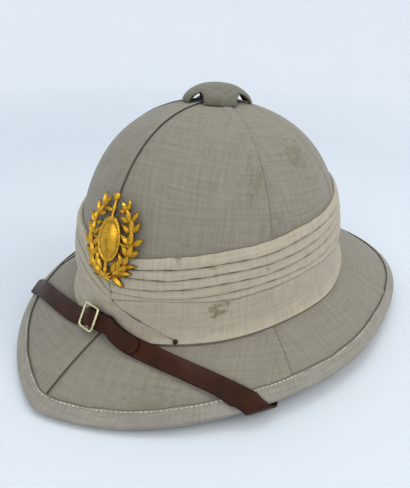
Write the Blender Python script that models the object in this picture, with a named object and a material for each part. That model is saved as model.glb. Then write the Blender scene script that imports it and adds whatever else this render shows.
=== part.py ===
"""Pith helmet: a hard shell covered with six cloth gores, a pleated puggaree, a ventilator cap,
a gilt badge and a leather chin strap worn up over the front of the brim.

Metres, +Z up. The front points along -Y and the wearer's left is +X. The helmet rests on the front and
the back of its brim at z = 0, and the origin is under the middle of the brim.

Everything follows one reference skin, the outer face of the cloth. A point of it has a turn, the angle
round the helmet from the front towards +X, and a run, which is 0 at the top of the crown, 1 at the foot
of the crown and 2 at the edge of the brim. Each layer lies at its own distance along the skin's normal.
"""

import math

import bmesh
import bpy
import numpy as np

# Crown, measured to the outer face of the cloth
CROWN_FRONT = 0.114
CROWN_BACK = 0.1105
CROWN_SIDE = 0.096
CROWN_ROUND = 1.9
CROWN_RISE = 0.123
CROWN_FULLNESS = 2.6
SHOULDER = 2.2
SHOULDER_SWING = 0.42
CROWN_LEAN = 0.0005
FOOT_HEIGHT = 0.043
FOOT_SLOPE = 0.10
FILLET_UP = 0.012
VENT_HOLE = 0.009

# Brim, measured to the outside of its binding
BRIM_FRONT = 0.1685
BRIM_POINT = 0.0055
POINT_SPREAD = 0.24
BRIM_BACK = 0.1995
BRIM_SIDE = 0.137
BRIM_FRONT_ROUND = 1.82
BRIM_BACK_ROUND = 2.18
BRIM_BULGE = 0.0025
EDGE_ARCH = 0.0093
ARCH_FRONT = 4.8
ARCH_BACK = 3.4
ARCH_FLAT = math.radians(14.1)

# Layers
GAP = 0.0003
SHELL_WALL = 0.005
SHELL_EDGE = 0.0026
CLOTH = 0.001
SEAM_RIDGE = 0.0007
SEAM_LAP = 0.0045
SEAM_RAMP = 0.0012
SEAM_TURNS = tuple(math.radians(turn) for turn in (0, 62.5, 110, 180, 250, 297.5, 360))
FACET = math.radians(15.5)
BINDING = 0.001
BINDING_WIDTH = 0.0085

# Puggaree: heights are above the foot of the crown
WRAP_OUT = 0.007
UNDER_WRAP = 0.0008
PLEATS = 5
PLEAT_TOP = 0.056
PLEAT_FOOT = 0.0256
PLEAT_DIP = 0.0045
PLEAT_LIFT = (0.015, 0.008)
CROSSING_TURN = math.radians(4.5)
CROSSING_SPREAD = math.radians(13)
CROSSING_BACK = (math.radians(-150), math.radians(-70))
PLEAT_THIN = 0.0008
PLEAT_THICK = 0.0019
APRON = 0.001
APRON_LEAST = 0.33
PLEAT_STEP = 0.0006
WRAP_END_TURN = math.radians(31)
WRAP_START_TURN = math.radians(-5)
WRAP_BACK_TURNS = (math.radians(-140), math.radians(-75))
TACK_RADIUS = 0.0016
TACK_RISE = 0.0012
TACK_UP = 0.0015

# Ventilator
CAP_RADIUS = 0.0255
CAP_RISE = 0.0145
CAP_WALL = 0.0018
CAP_ARCH = 0.0085
CAP_FLARE = 0.0016
CAP_DOME = 2.2
CAP_COLUMNS = 24
SEAT_WALL = 0.0014
SEAT_FLANGE = 0.0150
SEAT_THICKNESS = 0.0009
SEAT_DEPTH = 0.0075
SEAT_COLUMNS = 12

# Badge: heights are above the foot of the crown
BADGE_HEIGHT = 0.058
BADGE_WIDTH = 0.043
BADGE_MIDDLE = 0.0595
SPRAY_WIRE = 0.0011
SPRAY_OPENING = math.radians(34)
LEAF_PAIRS = 5
LEAF_LENGTH = 0.0118
LEAF_WIDTH = 0.0054
LEAF_EDGE = 0.0008
LEAF_RELIEF = 0.0016
LEAF_SPREAD = math.radians(36)
BOSS_HEIGHT = 0.027
BOSS_WIDTH = 0.0165
BOSS_EDGE = 0.0012
BOSS_RELIEF = 0.0024
PIN_WIDTH = 0.0018
PEARL_RADIUS = 0.0021
POST_RADIUS = 0.0011
POST_OUT = 0.0125
POST_UP = 0.0160

# Chin strap
STRAP_WIDTH = 0.0122
STRAP_THICKNESS = 0.0019
STRAP_LIFT = 0.0011
STRAP_FRONT_OUT = 0.0074
STRAP_EDGE_TURN = math.radians(51.8)
STRAP_REST = 0.36
STRAP_REST_LESS = 0.07
STRAP_STATIONS = 33
STRAP_OVER = 0.0006
STRAP_BEND_IN = 0.0020
STRAP_CLEAR = 0.0007
STRAP_UNDER = 0.0015
STRAP_DROP = 0.0010
STRAP_SKEW = 0.021
STRAP_WRAP_TURNS = (math.radians(24), math.radians(36))
STRAP_ANCHOR_TURN = math.radians(84)
TAIL_LENGTH = 0.040
TAIL_THICKNESS = 0.0014
TAIL_HUMP = 0.0045
TAIL_START_LIFT = 0.0002
BUCKLE_OUT = -0.0075
BUCKLE_ALONG = 0.0150
BUCKLE_ACROSS = 0.0172
BUCKLE_WIRE = 0.0016
BUCKLE_BAR = 0.0011
BUCKLE_TURNS = 18
BUCKLE_LIFT = 0.0001
BUCKLE_CLEAR = 0.0006
ANCHOR_RADIUS = 0.0042
ANCHOR_THICKNESS = 0.0014
ANCHOR_UP = 0.012

BRIM_MIDDLE = (BRIM_BACK - BRIM_FRONT - BRIM_POINT) / 2
EDGE_OUT = GAP + BINDING
WRAP_INNER = GAP + UNDER_WRAP + 2 * GAP
UNDER_EDGE = CLOTH + GAP + SHELL_EDGE + GAP + BINDING
EDGE_RISE = UNDER_EDGE * 0.84
TINY = 1e-5
WELD = 0.00002


def material(name, colour, roughness, metallic=0.0):
    """A plain Principled BSDF material."""
    made = bpy.data.materials.new(name)
    made.use_nodes = True
    shader = made.node_tree.nodes["Principled BSDF"]
    shader.inputs["Base Color"].default_value = (*colour, 1.0)
    shader.inputs["Roughness"].default_value = roughness
    shader.inputs["Metallic"].default_value = metallic
    made.diffuse_color = (*colour, 1.0)
    return made


def superellipse(turn, front, back, side, power):
    """Plan ring: x and y of a superellipse whose front and back lengths differ."""
    sine, cosine = np.sin(turn), np.cos(turn)
    x = side * np.sign(sine) * np.abs(sine) ** (2 / power)
    length = np.where(cosine > 0, front, back)
    return x, -length * np.sign(cosine) * np.abs(cosine) ** (2 / power)


def crown(turn, run):
    """Crown skin from the top at run 0 to its foot at run 1."""
    angle = np.clip(run, 0, 1) * math.pi / 2
    shoulder = SHOULDER + SHOULDER_SWING * np.cos(turn)
    height = np.abs(np.cos(angle)) ** (2 / CROWN_FULLNESS)
    width = np.abs(np.sin(angle)) ** (2 / shoulder)
    x, y = superellipse(turn, CROWN_FRONT, CROWN_BACK, CROWN_SIDE, CROWN_ROUND)
    z = FOOT_HEIGHT + CROWN_RISE * height + FOOT_SLOPE * y * (1 - height)
    return np.stack([x * width, y * width - CROWN_LEAN * height, z], -1)


def run_of_height(turn, height):
    """The run at which the crown skin is this high above its foot."""
    _, foot = superellipse(turn, CROWN_FRONT, CROWN_BACK, CROWN_SIDE, CROWN_ROUND)
    share = np.clip(height / (CROWN_RISE - FOOT_SLOPE * foot), 0, 1)
    return np.arccos(share ** (CROWN_FULLNESS / 2)) * 2 / math.pi + 0 * turn


def run_of_width(turn, share):
    """The run at which the crown is this share of its width at the foot."""
    shoulder = SHOULDER + SHOULDER_SWING * np.cos(turn)
    return np.arcsin(np.clip(share, 0, 1) ** (shoulder / 2)) * 2 / math.pi


def foot_radius(turn):
    """Distance in plan from the middle of the crown to its foot."""
    return np.linalg.norm(crown(turn, 1 + 0 * turn)[..., :2], axis=-1)


def width_of_run(turn, run):
    """Share of the foot's width that the crown has at this run."""
    shoulder = SHOULDER + SHOULDER_SWING * np.cos(turn)
    return np.sin(run * math.pi / 2) ** (2 / shoulder)


def folded(turn):
    """The turn brought between -180 and 180 degrees."""
    return (turn + math.pi) % (2 * math.pi) - math.pi


def arch(turn):
    """Height of the brim's lower edge: level at front and back, raised at the sides."""
    away = np.abs(folded(turn))
    ahead = away < math.pi / 2
    away = np.where(ahead, away, math.pi - away)
    share = np.clip((away - ARCH_FLAT) / (math.pi / 2 - ARCH_FLAT), 0, 1)
    power = np.where(ahead, ARCH_FRONT, ARCH_BACK)
    return EDGE_ARCH * (1 - np.abs(np.cos(share * math.pi / 2)) ** power)


def brim_edge(turn):
    """Edge of the brim's cloth, inside the binding."""
    ahead = np.cos(turn) > 0
    point = BRIM_POINT * np.exp(-((np.abs(folded(turn)) / POINT_SPREAD) ** 1.5))
    sizes = (BRIM_FRONT - EDGE_OUT, BRIM_BACK - EDGE_OUT, BRIM_SIDE - EDGE_OUT)
    front = superellipse(turn, *sizes, BRIM_FRONT_ROUND)
    back = superellipse(turn, *sizes, BRIM_BACK_ROUND)
    x = np.where(ahead, front[0], back[0])
    y = np.where(ahead, front[1] - point, back[1])
    return np.stack([x, y, arch(turn) + EDGE_RISE], -1)


def brim_length(turn):
    """Slanting length of the brim at this turn."""
    return np.linalg.norm(brim_edge(turn) - crown(turn, 1 + 0 * turn), axis=-1)


def brim(turn, share):
    """Brim skin from the crown's foot at share 0 to its edge at share 1, a little bulged."""
    foot = crown(turn, 1 + 0 * turn)
    skin = foot + (brim_edge(turn) - foot) * share[..., None]
    skin[..., 2] += BRIM_BULGE * np.sin(math.pi * share)
    return skin


def skin_point(turn, run):
    """The reference skin: crown, a fillet on three control points, and brim."""
    turn, run = np.broadcast_arrays(np.asarray(turn, float), np.asarray(run, float))
    start = run_of_height(turn, FILLET_UP)
    end = 1 + WRAP_OUT / brim_length(turn)
    high = crown(turn, np.minimum(run, start))
    low = brim(turn, np.maximum(run, end) - 1)
    share = np.clip((run - start) / (end - start), 0, 1)[..., None]
    corner = crown(turn, 1 + 0 * turn)
    curve = (1 - share) ** 2 * high + 2 * share * (1 - share) * corner + share**2 * low
    above, below = (run <= start)[..., None], (run >= end)[..., None]
    return np.where(above, high, np.where(below, low, curve)) - (0, BRIM_MIDDLE, 0)


def skin_normal(turn, run):
    """Outward normal of the reference skin, from its slopes along turn and run."""
    run = np.maximum(run, 0.003)
    along = skin_point(turn + TINY, run) - skin_point(turn - TINY, run)
    down = skin_point(turn, run + TINY) - skin_point(turn, run - TINY)
    normal = np.cross(down, along)
    return normal / np.linalg.norm(normal, axis=-1)[..., None]


def layer(turn, run, offset):
    """Points at a distance outside the reference skin."""
    turn, run, offset = np.broadcast_arrays(turn, run, offset)
    return skin_point(turn, run) + skin_normal(turn, run) * offset[..., None]


def pleat_height(turn, share):
    """Height of a pleat line above the crown's foot: share 0 is the lowest line and 1 the top edge.

    The lines dip towards the crossing at the front, and beyond it they climb on the wearer's right.
    """
    away = folded(turn)
    beside = away - CROSSING_TURN
    dip = PLEAT_DIP * np.exp(-np.maximum(beside, 0) / CROSSING_SPREAD)
    climb = 1 - np.exp(np.minimum(beside, 0) / CROSSING_SPREAD)
    first, last = CROSSING_BACK
    climb = climb * np.clip((away - first) / (last - first), 0, 1)
    low, high = PLEAT_LIFT
    return PLEAT_FOOT + (PLEAT_TOP - PLEAT_FOOT) * share - dip + climb * (low + (high - low) * share)


def wrap_foot_run(turn):
    """Run of the puggaree's lower edge, on the start of the brim."""
    return 1 + WRAP_OUT / brim_length(turn)


def turns_round():
    """Columns shared by every layer: even facets on each gore, then the ramp and lap of its seam.

    Gives the base turn of each column and how far before it, in metres, the column lies.
    """
    base, back = [], []
    for start, end in zip(SEAM_TURNS, SEAM_TURNS[1:]):
        count = math.ceil((end - start) / FACET)
        base += list(np.linspace(start, end, count, endpoint=False)) + [end, end]
        back += [0.0] * count + [SEAM_LAP + SEAM_RAMP, SEAM_LAP]
    return np.array(base), np.array(back)


def turn_of(base, back, run):
    """Turns of the columns at a run, moved back along the skin by their distances.

    Near the ventilator, where the gores are narrow, the distances shrink to fit their facet.
    """
    pace = np.linalg.norm(skin_point(base + TINY, run) - skin_point(base - TINY, run), axis=-1)
    widest = (SEAM_LAP + SEAM_RAMP) * 2 * TINY / pace
    squeeze = np.minimum(1, 0.7 * FACET / widest)
    return base - back * squeeze * 2 * TINY / pace


def rows(base):
    """Runs of the rows shared by the shell and the gores, one array for each row."""
    ring = foot_radius(base)
    top = run_of_height(base, pleat_height(base, 1.0))
    low = np.arcsin(np.clip(VENT_HOLE / ring, 0, 1))
    high = np.arcsin(np.clip(width_of_run(base, top), 0, 1))
    made = [run_of_width(base, np.sin(low + (high - low) * step / 6)) for step in range(7)]
    start, end = run_of_height(base, FILLET_UP), wrap_foot_run(base)
    made += [top + (start - top) * share for share in (0.5, 1.0)]
    made += [start + (end - start) * share for share in (0.35, 0.65, 1.0)]
    inner = 2 - (BINDING_WIDTH + GAP) / brim_length(base)
    made += [end + (inner - end) * share for share in (0.5, 1.0)]
    return made + [2 + 0 * base]


BAND_TOP_ROW = 6
BAND_FOOT_ROW = 11
BRIM_INNER_ROW = 13


def closed_wall(outer, inner, ring):
    """Vertices and faces of a wall between two grids of points, closed at its free edges."""
    count, across = outer.shape[:2]
    points = np.concatenate([outer.reshape(-1, 3), inner.reshape(-1, 3)])
    index = np.arange(count * across).reshape(count, across)
    under = index + count * across
    faces = []

    def strip(first, second, upper):
        """Faces between two lines of points; both grids are cut along like diagonals, so layers stay parallel."""
        ends = range(across) if ring else range(across - 1)
        for here in ends:
            there = (here + 1) % across
            halves = (first[here], second[here], second[there]), (first[here], second[there], first[there])
            faces.extend(half if upper else half[::-1] for half in halves)

    for row in range(count - 1):
        strip(index[row], index[row + 1], True)
        strip(under[row], under[row + 1], False)
    strip(under[0], index[0], True)
    strip(index[-1], under[-1], True)
    if not ring:
        for row in range(count - 1):
            faces.append((index[row, 0], under[row, 0], under[row + 1, 0], index[row + 1, 0]))
            faces.append((index[row, -1], index[row + 1, -1], under[row + 1, -1], under[row, -1]))
    return points, faces


def ring_faces(count, across, closed=True):
    """Faces of a grid whose rows are rings of points; the last row joins the first where it is closed."""
    faces = []
    for row in range(count if closed else count - 1):
        near, far = row * across, (row + 1) % count * across
        for here in range(across):
            there = (here + 1) % across
            faces.append((near + here, far + here, far + there, near + there))
    return faces


def turn_outward(mesh):
    """Turns a closed mesh's faces outwards where they all point in."""
    mesh.calc_loop_triangles()
    points = np.empty(len(mesh.vertices) * 3)
    mesh.vertices.foreach_get("co", points)
    corners = np.empty(len(mesh.loop_triangles) * 3, np.int32)
    mesh.loop_triangles.foreach_get("vertices", corners)
    if np.linalg.det(points.reshape(-1, 3)[corners.reshape(-1, 3)]).sum() < 0:
        mesh.flip_normals()


def add_node(name, points, faces, finish, angle=40):
    """A named object of these points and faces, shaded smooth below an angle in degrees."""
    mesh = bpy.data.meshes.new(name)
    mesh.from_pydata([tuple(map(float, point)) for point in points], [], [tuple(map(int, f)) for f in faces])
    mesh.validate()
    turn_outward(mesh)
    mesh.materials.append(finish)
    mesh.shade_smooth()
    mesh.set_sharp_from_angle(angle=math.radians(angle))
    made = bpy.data.objects.new(name, mesh)
    bpy.context.scene.collection.objects.link(made)
    return made


def make_shell(finish):
    """The hard body: crown and brim in one wall, thinner towards the edge, open at the ventilator."""
    base, back = turns_round()
    outer, inner = [], []
    for run in rows(base):
        turn = turn_of(base, back, run)
        wall = SHELL_WALL + (SHELL_EDGE - SHELL_WALL) * np.clip(run - 1, 0, 1)
        outer.append(layer(turn, run, -CLOTH - GAP))
        inner.append(layer(turn, run, -CLOTH - GAP - wall))
    return add_node("shell", *closed_wall(np.array(outer), np.array(inner), True), finish)


def make_gore(number, finish):
    """One cloth gore from the ventilator to the edge of the brim; its far side laps as a raised seam."""
    start, end = SEAM_TURNS[number], SEAM_TURNS[number + 1]
    count = math.ceil((end - start) / FACET)
    base = np.array(list(np.linspace(start, end, count, endpoint=False)) + [end, end, end])
    back = np.array([-GAP / 2] + [0.0] * (count - 1) + [SEAM_LAP + SEAM_RAMP, SEAM_LAP, GAP / 2])
    raised = np.array([0.0] * count + [0.0, 1.0, 1.0])
    outer, inner = [], []
    for row, run in enumerate(rows(base)):
        turn = turn_of(base, back, run)
        covered = BAND_TOP_ROW <= row <= BAND_FOOT_ROW or row >= BRIM_INNER_ROW
        ridge = 0.0 if covered else SEAM_RIDGE
        outer.append(layer(turn, run, raised * ridge))
        inner.append(layer(turn, run, -CLOTH + 0 * turn))
    return add_node(f"gore_{number + 1}", *closed_wall(np.array(outer), np.array(inner), False), finish)


def make_binding(finish):
    """Cloth folded over the edge of the brim; its lowest strip is level, and the helmet rests on it."""
    base, back = turns_round()
    length = brim_length(base)
    under = -CLOTH - GAP - SHELL_EDGE - GAP
    sections = (
        # distance in from the cloth's edge, distance outside the skin, lies on the resting level
        (BINDING_WIDTH, GAP, False),
        (BINDING_WIDTH, GAP + BINDING, False),
        (0.0, GAP + BINDING, False),
        (-EDGE_OUT * 0.8, GAP, False),
        (-EDGE_OUT, -CLOTH, False),
        (-EDGE_OUT * 0.9, under * 0.75, True),
        (0.0, under - BINDING, True),
        (BINDING_WIDTH, under - BINDING, False),
        (BINDING_WIDTH, under, False),
        (-GAP, under, False),
        (-GAP, GAP, False),
    )
    loops = []
    for inset, offset, level in sections:
        run = 2 - inset / length
        turn = turn_of(base, back, run)
        slope = (SHELL_WALL - SHELL_EDGE) * max(inset, 0) / length if offset <= under else 0.0
        points = layer(turn, run, offset - slope)
        if level:
            points[:, 2] = arch(turn)
        loops.append(points)
    grid = np.array(loops)
    return add_node("brim_binding", grid.reshape(-1, 3), ring_faces(*grid.shape[:2]), finish)


def make_under_wrap(finish):
    """The first turns of the puggaree: a plain band from its top edge down onto the brim."""
    base, back = turns_round()
    outer, inner = [], []
    for row in range(BAND_TOP_ROW, BAND_FOOT_ROW + 1):
        run = rows(base)[row]
        if row == BAND_TOP_ROW:
            run = run + (rows(base)[row + 1] - run) * 0.1
        turn = turn_of(base, back, run)
        outer.append(layer(turn, run, GAP + UNDER_WRAP))
        inner.append(layer(turn, run, GAP + 0 * turn))
    return add_node("puggaree_under_wrap", *closed_wall(np.array(outer), np.array(inner), True), finish)


def apron_reach(turn):
    """How far the plain apron comes down from the lowest pleat: 0 at the pleat and 1 at the brim.

    It ends in a slanting edge at the front, pinned by the tack, and starts in another behind.
    """
    away = folded(turn)
    front = np.clip((away - WRAP_START_TURN) / (WRAP_END_TURN - WRAP_START_TURN), 0, 1)
    first, last = WRAP_BACK_TURNS
    behind = np.clip((last - away) / (last - first), 0, 1)
    return np.maximum(np.maximum(front, behind), APRON_LEAST)


def make_outer_wrap(finish):
    """The pleated turns of the puggaree and the plain apron that hangs below them."""
    base, back = turns_round()
    low = WRAP_INNER
    lines = []
    for pleat in range(PLEATS):
        lines.append((1 - pleat / PLEATS, low + PLEAT_THIN))
        lines.append((1 - (pleat + 1) / PLEATS, low + PLEAT_THICK))
    outer = []
    for number, (share, offset) in enumerate(lines):
        step = PLEAT_STEP if number % 2 else 0.0
        run = run_of_height(base, pleat_height(base, share) + step)
        outer.append(layer(turn_of(base, back, run), run, offset))
    start = run_of_height(base, pleat_height(base, 0.0))
    foot = start + (wrap_foot_run(base) - start) * (0.04 + 0.96 * apron_reach(base))
    shares = (0.0, 0.35, 0.6, 0.8, 1.0)
    for share in shares:
        run = start + (foot - start) * share
        outer.append(layer(turn_of(base, back, run), run, low + APRON))
    inner = []
    top = run_of_height(base, pleat_height(base, 1.0))
    for share in (0.0, 0.34, 0.67):
        run = top + (start - top) * share
        inner.append(layer(turn_of(base, back, run), run, low))
    for share in shares:
        run = start + (foot - start) * share
        inner.append(layer(turn_of(base, back, run), run, low))
    grid = np.array(outer + inner[::-1])
    return add_node("puggaree_outer_wrap", grid.reshape(-1, 3), ring_faces(*grid.shape[:2]), finish, 30)


def make_tack(finish):
    """A small round-headed tack through the slanting end of the puggaree."""
    turn = WRAP_END_TURN * 0.97
    centre, run = wrap_corner(turn)
    normal = skin_normal(turn, run)
    side = np.cross(normal, (0, 0, 1))
    side = side / np.linalg.norm(side)
    up = np.cross(normal, side)
    angles = np.linspace(0, 2 * math.pi, 10, endpoint=False)
    rings = []
    for share, height in ((1.0, 0.0), (1.0, 0.3), (0.6, 0.85)):
        flat = np.outer(np.cos(angles), side) + np.outer(np.sin(angles), up)
        rings.append(centre + flat * TACK_RADIUS * share + normal * TACK_RISE * height)
    points = np.concatenate(rings + [centre[None], (centre + normal * TACK_RISE)[None]])
    faces = []
    for here in range(10):
        there = (here + 1) % 10
        faces.append((here, 30, there))
        for ring in (0, 10):
            faces.append((ring + here, ring + there, ring + 10 + there, ring + 10 + here))
        faces.append((20 + here, 20 + there, 31))
    return add_node("wrap_tack", points, faces, finish)


def wrap_corner(turn):
    """A point just outside the apron near its lower corner, and its run."""
    base = np.array(turn)
    foot = wrap_foot_run(base)
    run = foot - TACK_UP / brim_length(base)
    return layer(base, run, WRAP_INNER + APRON + GAP), run


def cap_surface(turn, share, radius, rise):
    """A dome of this radius and rise standing on the crown; share 0 is its top, 1 its lowest edge.

    Four arched openings lift the edge at front, back and sides, and four lobes reach down between.
    """
    opening = np.sqrt(np.clip((np.cos(4 * turn) - 0.1) / 0.9, 0, 1))
    edge = (1 - (CAP_ARCH * opening / CAP_RISE) ** 2) ** (1 / CAP_DOME)
    reach = share * edge
    height = rise * np.sqrt(np.clip(1 - reach**CAP_DOME, 0, 1))
    flare = CAP_FLARE * reach**6 * (1 - opening)
    skin = skin_point(turn, run_of_width(turn, (radius * reach + flare) / foot_radius(turn)))
    skin[..., 2] += height + SEAM_RIDGE + GAP
    return skin


def make_cap(finish):
    """The cloth-covered ventilator cap."""
    turn = np.linspace(0, 2 * math.pi, CAP_COLUMNS, endpoint=False)
    shares = np.sin(np.radians((18, 40, 60, 77, 90)))
    outer = [cap_surface(turn, share, CAP_RADIUS, CAP_RISE) for share in shares]
    inner = [cap_surface(turn, share, CAP_RADIUS - CAP_WALL, CAP_RISE - CAP_WALL) for share in shares]
    inner[-1][:, 2] = outer[-1][:, 2]
    grid = np.array(outer + inner[::-1])
    count = len(grid)
    faces = ring_faces(count, CAP_COLUMNS, closed=False)
    points = grid.reshape(-1, 3)
    tops = [cap_surface(np.array(0.0), 0.0, *size) for size in cap_sizes()]
    tops = [np.array((0, ring[:, 1].mean(), top[2])) for ring, top in zip((outer[0], inner[0]), tops)]
    points = np.concatenate([points, np.array(tops)])
    last = (count - 1) * CAP_COLUMNS
    for here in range(CAP_COLUMNS):
        there = (here + 1) % CAP_COLUMNS
        faces.append((here, there, len(points) - 2))
        faces.append((last + there, last + here, len(points) - 1))
    return add_node("ventilator_cap", points, faces, finish, 50)


def cap_sizes():
    """Radius and rise of the cap's outer and inner faces."""
    return (CAP_RADIUS, CAP_RISE), (CAP_RADIUS - CAP_WALL, CAP_RISE - CAP_WALL)


def make_seat(finish):
    """The metal collar that lines the ventilator hole and holds the cloth down under the cap."""
    turn = np.linspace(0, 2 * math.pi, SEAT_COLUMNS, endpoint=False)
    tube, low = VENT_HOLE - 4 * GAP, SEAM_RIDGE + GAP
    bore = tube - SEAT_WALL
    sections = (
        # radius, distance outside the skin
        (bore, -SEAT_DEPTH),
        (tube, -SEAT_DEPTH),
        (tube, low),
        (SEAT_FLANGE, low),
        (SEAT_FLANGE, low + SEAT_THICKNESS),
        (bore, low + SEAT_THICKNESS),
    )
    grid = np.array([layer(turn, run_of_width(turn, size / foot_radius(turn)), out) for size, out in sections])
    return add_node("ventilator_seat", grid.reshape(-1, 3), ring_faces(*grid.shape[:2]), finish)


def strap_plan(x):
    """Plan of the strap's middle line: a shallow parabola from one brim edge to the other."""
    front = skin_point(0.0, 1 + STRAP_FRONT_OUT / brim_length(np.array(0.0)))
    edge = skin_point(STRAP_EDGE_TURN, 2.0)
    bend = (edge[1] - front[1]) / edge[0] ** 2
    return front[1] + bend * x**2, 2 * bend * x, edge[0]


def over_plan(x, y, offset):
    """The point above a place in plan that lies at a distance outside the skin of the brim."""
    turn = np.arctan2(x * BRIM_FRONT / BRIM_SIDE, -(y + BRIM_MIDDLE))
    run = 1.4 + 0 * turn
    highest = 0.35 + 0.65 * run_of_height(turn, FILLET_UP)
    for _ in range(40):
        here = layer(turn, run, offset)
        by_turn = (layer(turn + TINY, run, offset) - here)[..., :2] / TINY
        by_run = (layer(turn, run + TINY, offset) - here)[..., :2] / TINY
        miss = np.stack([x, y], -1) - here[..., :2]
        area = by_turn[..., 0] * by_run[..., 1] - by_turn[..., 1] * by_run[..., 0]
        turn_step = (miss[..., 0] * by_run[..., 1] - miss[..., 1] * by_run[..., 0]) / area
        run_step = (by_turn[..., 0] * miss[..., 1] - by_turn[..., 1] * miss[..., 0]) / area
        turn = turn + np.clip(turn_step, -0.05, 0.05)
        run = np.clip(run + np.clip(run_step, -0.05, 0.05), highest, 2.1)
    return layer(turn, run, offset), turn


def strap_stations():
    """Places of the strap's stations over the brim, across the helmet from one edge to the other."""
    _, _, reach = strap_plan(np.array(0.0))
    return np.linspace(-reach, reach, STRAP_STATIONS)


def strap_frames(x):
    """Middle of the strap's underside over the brim, with its along, across and outward directions.

    The upper edge leans on the puggaree at the front, and the lower edge lies on the brim.
    """
    y, slope, _ = strap_plan(x)
    across = np.stack([-slope, 1 + 0 * x], -1) / np.sqrt(1 + slope**2)[..., None]
    _, turn = over_plan(x, y, 0 * x + STRAP_LIFT)
    first, last = STRAP_WRAP_TURNS
    on_wrap = 1 - np.clip((np.abs(turn) - first) / (last - first), 0, 1)
    half = (STRAP_WIDTH * (STRAP_REST - STRAP_REST_LESS * on_wrap))[:, None]
    high = np.stack([x, y], -1) + across * half
    low = np.stack([x, y], -1) - across * half
    on_edge = np.clip((np.abs(turn) / STRAP_EDGE_TURN - 0.75) / 0.15, 0, 1)
    wrap = WRAP_INNER + APRON + GAP
    over_edge = STRAP_LIFT + (GAP + BINDING + STRAP_OVER - STRAP_LIFT) * on_edge
    upper, _ = over_plan(high[..., 0], high[..., 1], over_edge + (wrap * 1.1 - STRAP_LIFT) * on_wrap)
    lower, _ = over_plan(low[..., 0], low[..., 1], over_edge)
    across = upper - lower
    across = across / np.linalg.norm(across, axis=-1)[..., None]
    middle = upper - across * STRAP_WIDTH / 2
    along = np.gradient(middle, axis=0)
    along = along - across * np.sum(along * across, -1)[..., None]
    along = along / np.linalg.norm(along, axis=-1)[..., None]
    return middle, along, across, np.cross(along, across)


def band(name, middle, across, normal, thickness, finish):
    """A flat strip of the strap's width through these stations, its underside on the middle line.

    The diagonals of its two wide faces lie alike, so that one strip can lie close on another.
    """
    half = across * STRAP_WIDTH / 2
    top = normal * thickness
    sections = np.stack([middle - half, middle + half, middle + half + top, middle - half + top], 1)
    count = len(sections)
    faces = [(3, 2, 1, 0), tuple(4 * (count - 1) + corner for corner in (0, 1, 2, 3))]
    for station in range(count - 1):
        near, far = 4 * station, 4 * station + 4
        for corner in range(4):
            after = (corner + 1) % 4
            quad = (near + after, far + after, far + corner, near + corner)
            if corner == 0:
                quad = quad[1:] + quad[:1]
            faces += [quad[:3], (quad[0], quad[2], quad[3])]
    return add_node(name, sections.reshape(-1, 3), faces, finish)


def edge_crossing():
    """Where the strap's middle crosses the brim's edge: point, along, outward, the way out, the edge's way.

    The last value is the strap's cross line there: parallel to the edge, so longer than its width.
    """
    _, _, reach = strap_plan(np.array(0.0))
    _, slope, _ = strap_plan(reach)
    normal = skin_normal(STRAP_EDGE_TURN, 2.0)
    middle = layer(STRAP_EDGE_TURN, 2.0, GAP + BINDING + STRAP_OVER)
    along = np.array((1.0, slope, -(normal[0] + slope * normal[1]) / normal[2]))
    along = along / np.linalg.norm(along)
    edge_along = skin_point(STRAP_EDGE_TURN + TINY, 2.0) - skin_point(STRAP_EDGE_TURN - TINY, 2.0)
    edge_along = edge_along / np.linalg.norm(edge_along)
    line = edge_along / np.dot(edge_along, np.cross(normal, along))
    return middle, along, normal, np.cross(edge_along, normal), edge_along, line


def skewed(across, along, line, distance):
    """Cross lines of the strap, turned from square to the edge's line as the distance to it shrinks."""
    slant = np.sum(line * along, -1) / np.sum(line * across, -1)
    share = np.clip(1 - distance / STRAP_SKEW, 0, 1)
    return across + along * (slant * share)[:, None]


def strap_side(sign):
    """Stations from the brim's edge round it and under the brim to the anchor inside the crown."""
    middle, along, normal, outward, edge_along, line = edge_crossing()
    drift = np.dot(along, edge_along) / np.dot(along, outward)
    angles = np.radians((0, 30, 60, 90, 120, 150, 180))
    thick = GAP + BINDING + STRAP_OVER + UNDER_EDGE + STRAP_UNDER + STRAP_DROP / 2
    rise = thick / 2 * (np.sign(np.cos(angles)) * np.sqrt(np.abs(np.cos(angles))) - 1)
    out = (EDGE_OUT + STRAP_CLEAR + STRAP_BEND_IN) * np.sqrt(np.abs(np.sin(angles))) - STRAP_BEND_IN
    gone = np.concatenate([[0.0], np.cumsum(np.hypot(np.diff(out), np.diff(rise)))]) - STRAP_BEND_IN
    bend = middle + np.outer(out, outward) + np.outer(rise, normal) + np.outer(gone * drift, edge_along)
    facing = np.outer(np.cos(angles), normal) + np.outer(np.sin(angles), outward)
    turn = math.atan2(bend[-1, 0] * BRIM_FRONT / BRIM_SIDE, -(bend[-1, 1] + BRIM_MIDDLE))
    shares = np.linspace(0.03, 1, 13) ** 0.6
    top = run_of_height(np.array(STRAP_ANCHOR_TURN), ANCHOR_UP)
    turns = turn + (STRAP_ANCHOR_TURN - turn) * np.minimum(shares * 1.15, 1)
    runs = 1.93 + (top - 1.93) * shares
    wall = SHELL_WALL + (SHELL_EDGE - SHELL_WALL) * np.clip(runs - 1, 0, 1)
    under = CLOTH + GAP + np.maximum(wall, SHELL_EDGE + GAP + BINDING) + STRAP_UNDER
    under += STRAP_DROP * np.clip(1 - shares / 0.5, 0, 1)
    points = layer(turns, runs, -under)
    inward = -skin_normal(turns, runs)
    ahead = np.gradient(points, axis=0)
    ahead = ahead / np.linalg.norm(ahead, axis=-1)[:, None]
    sides = np.cross(inward, ahead)
    sides = sides / np.linalg.norm(sides, axis=-1)[:, None]
    sides = skewed(sides, ahead, line, np.linalg.norm(points - bend[-1], axis=-1))
    places = np.concatenate([bend, points])
    lines = np.concatenate([line + 0 * bend, sides])
    outs = np.concatenate([facing, inward])
    return [part * (sign, 1, 1) for part in (places, lines, outs)]


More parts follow.
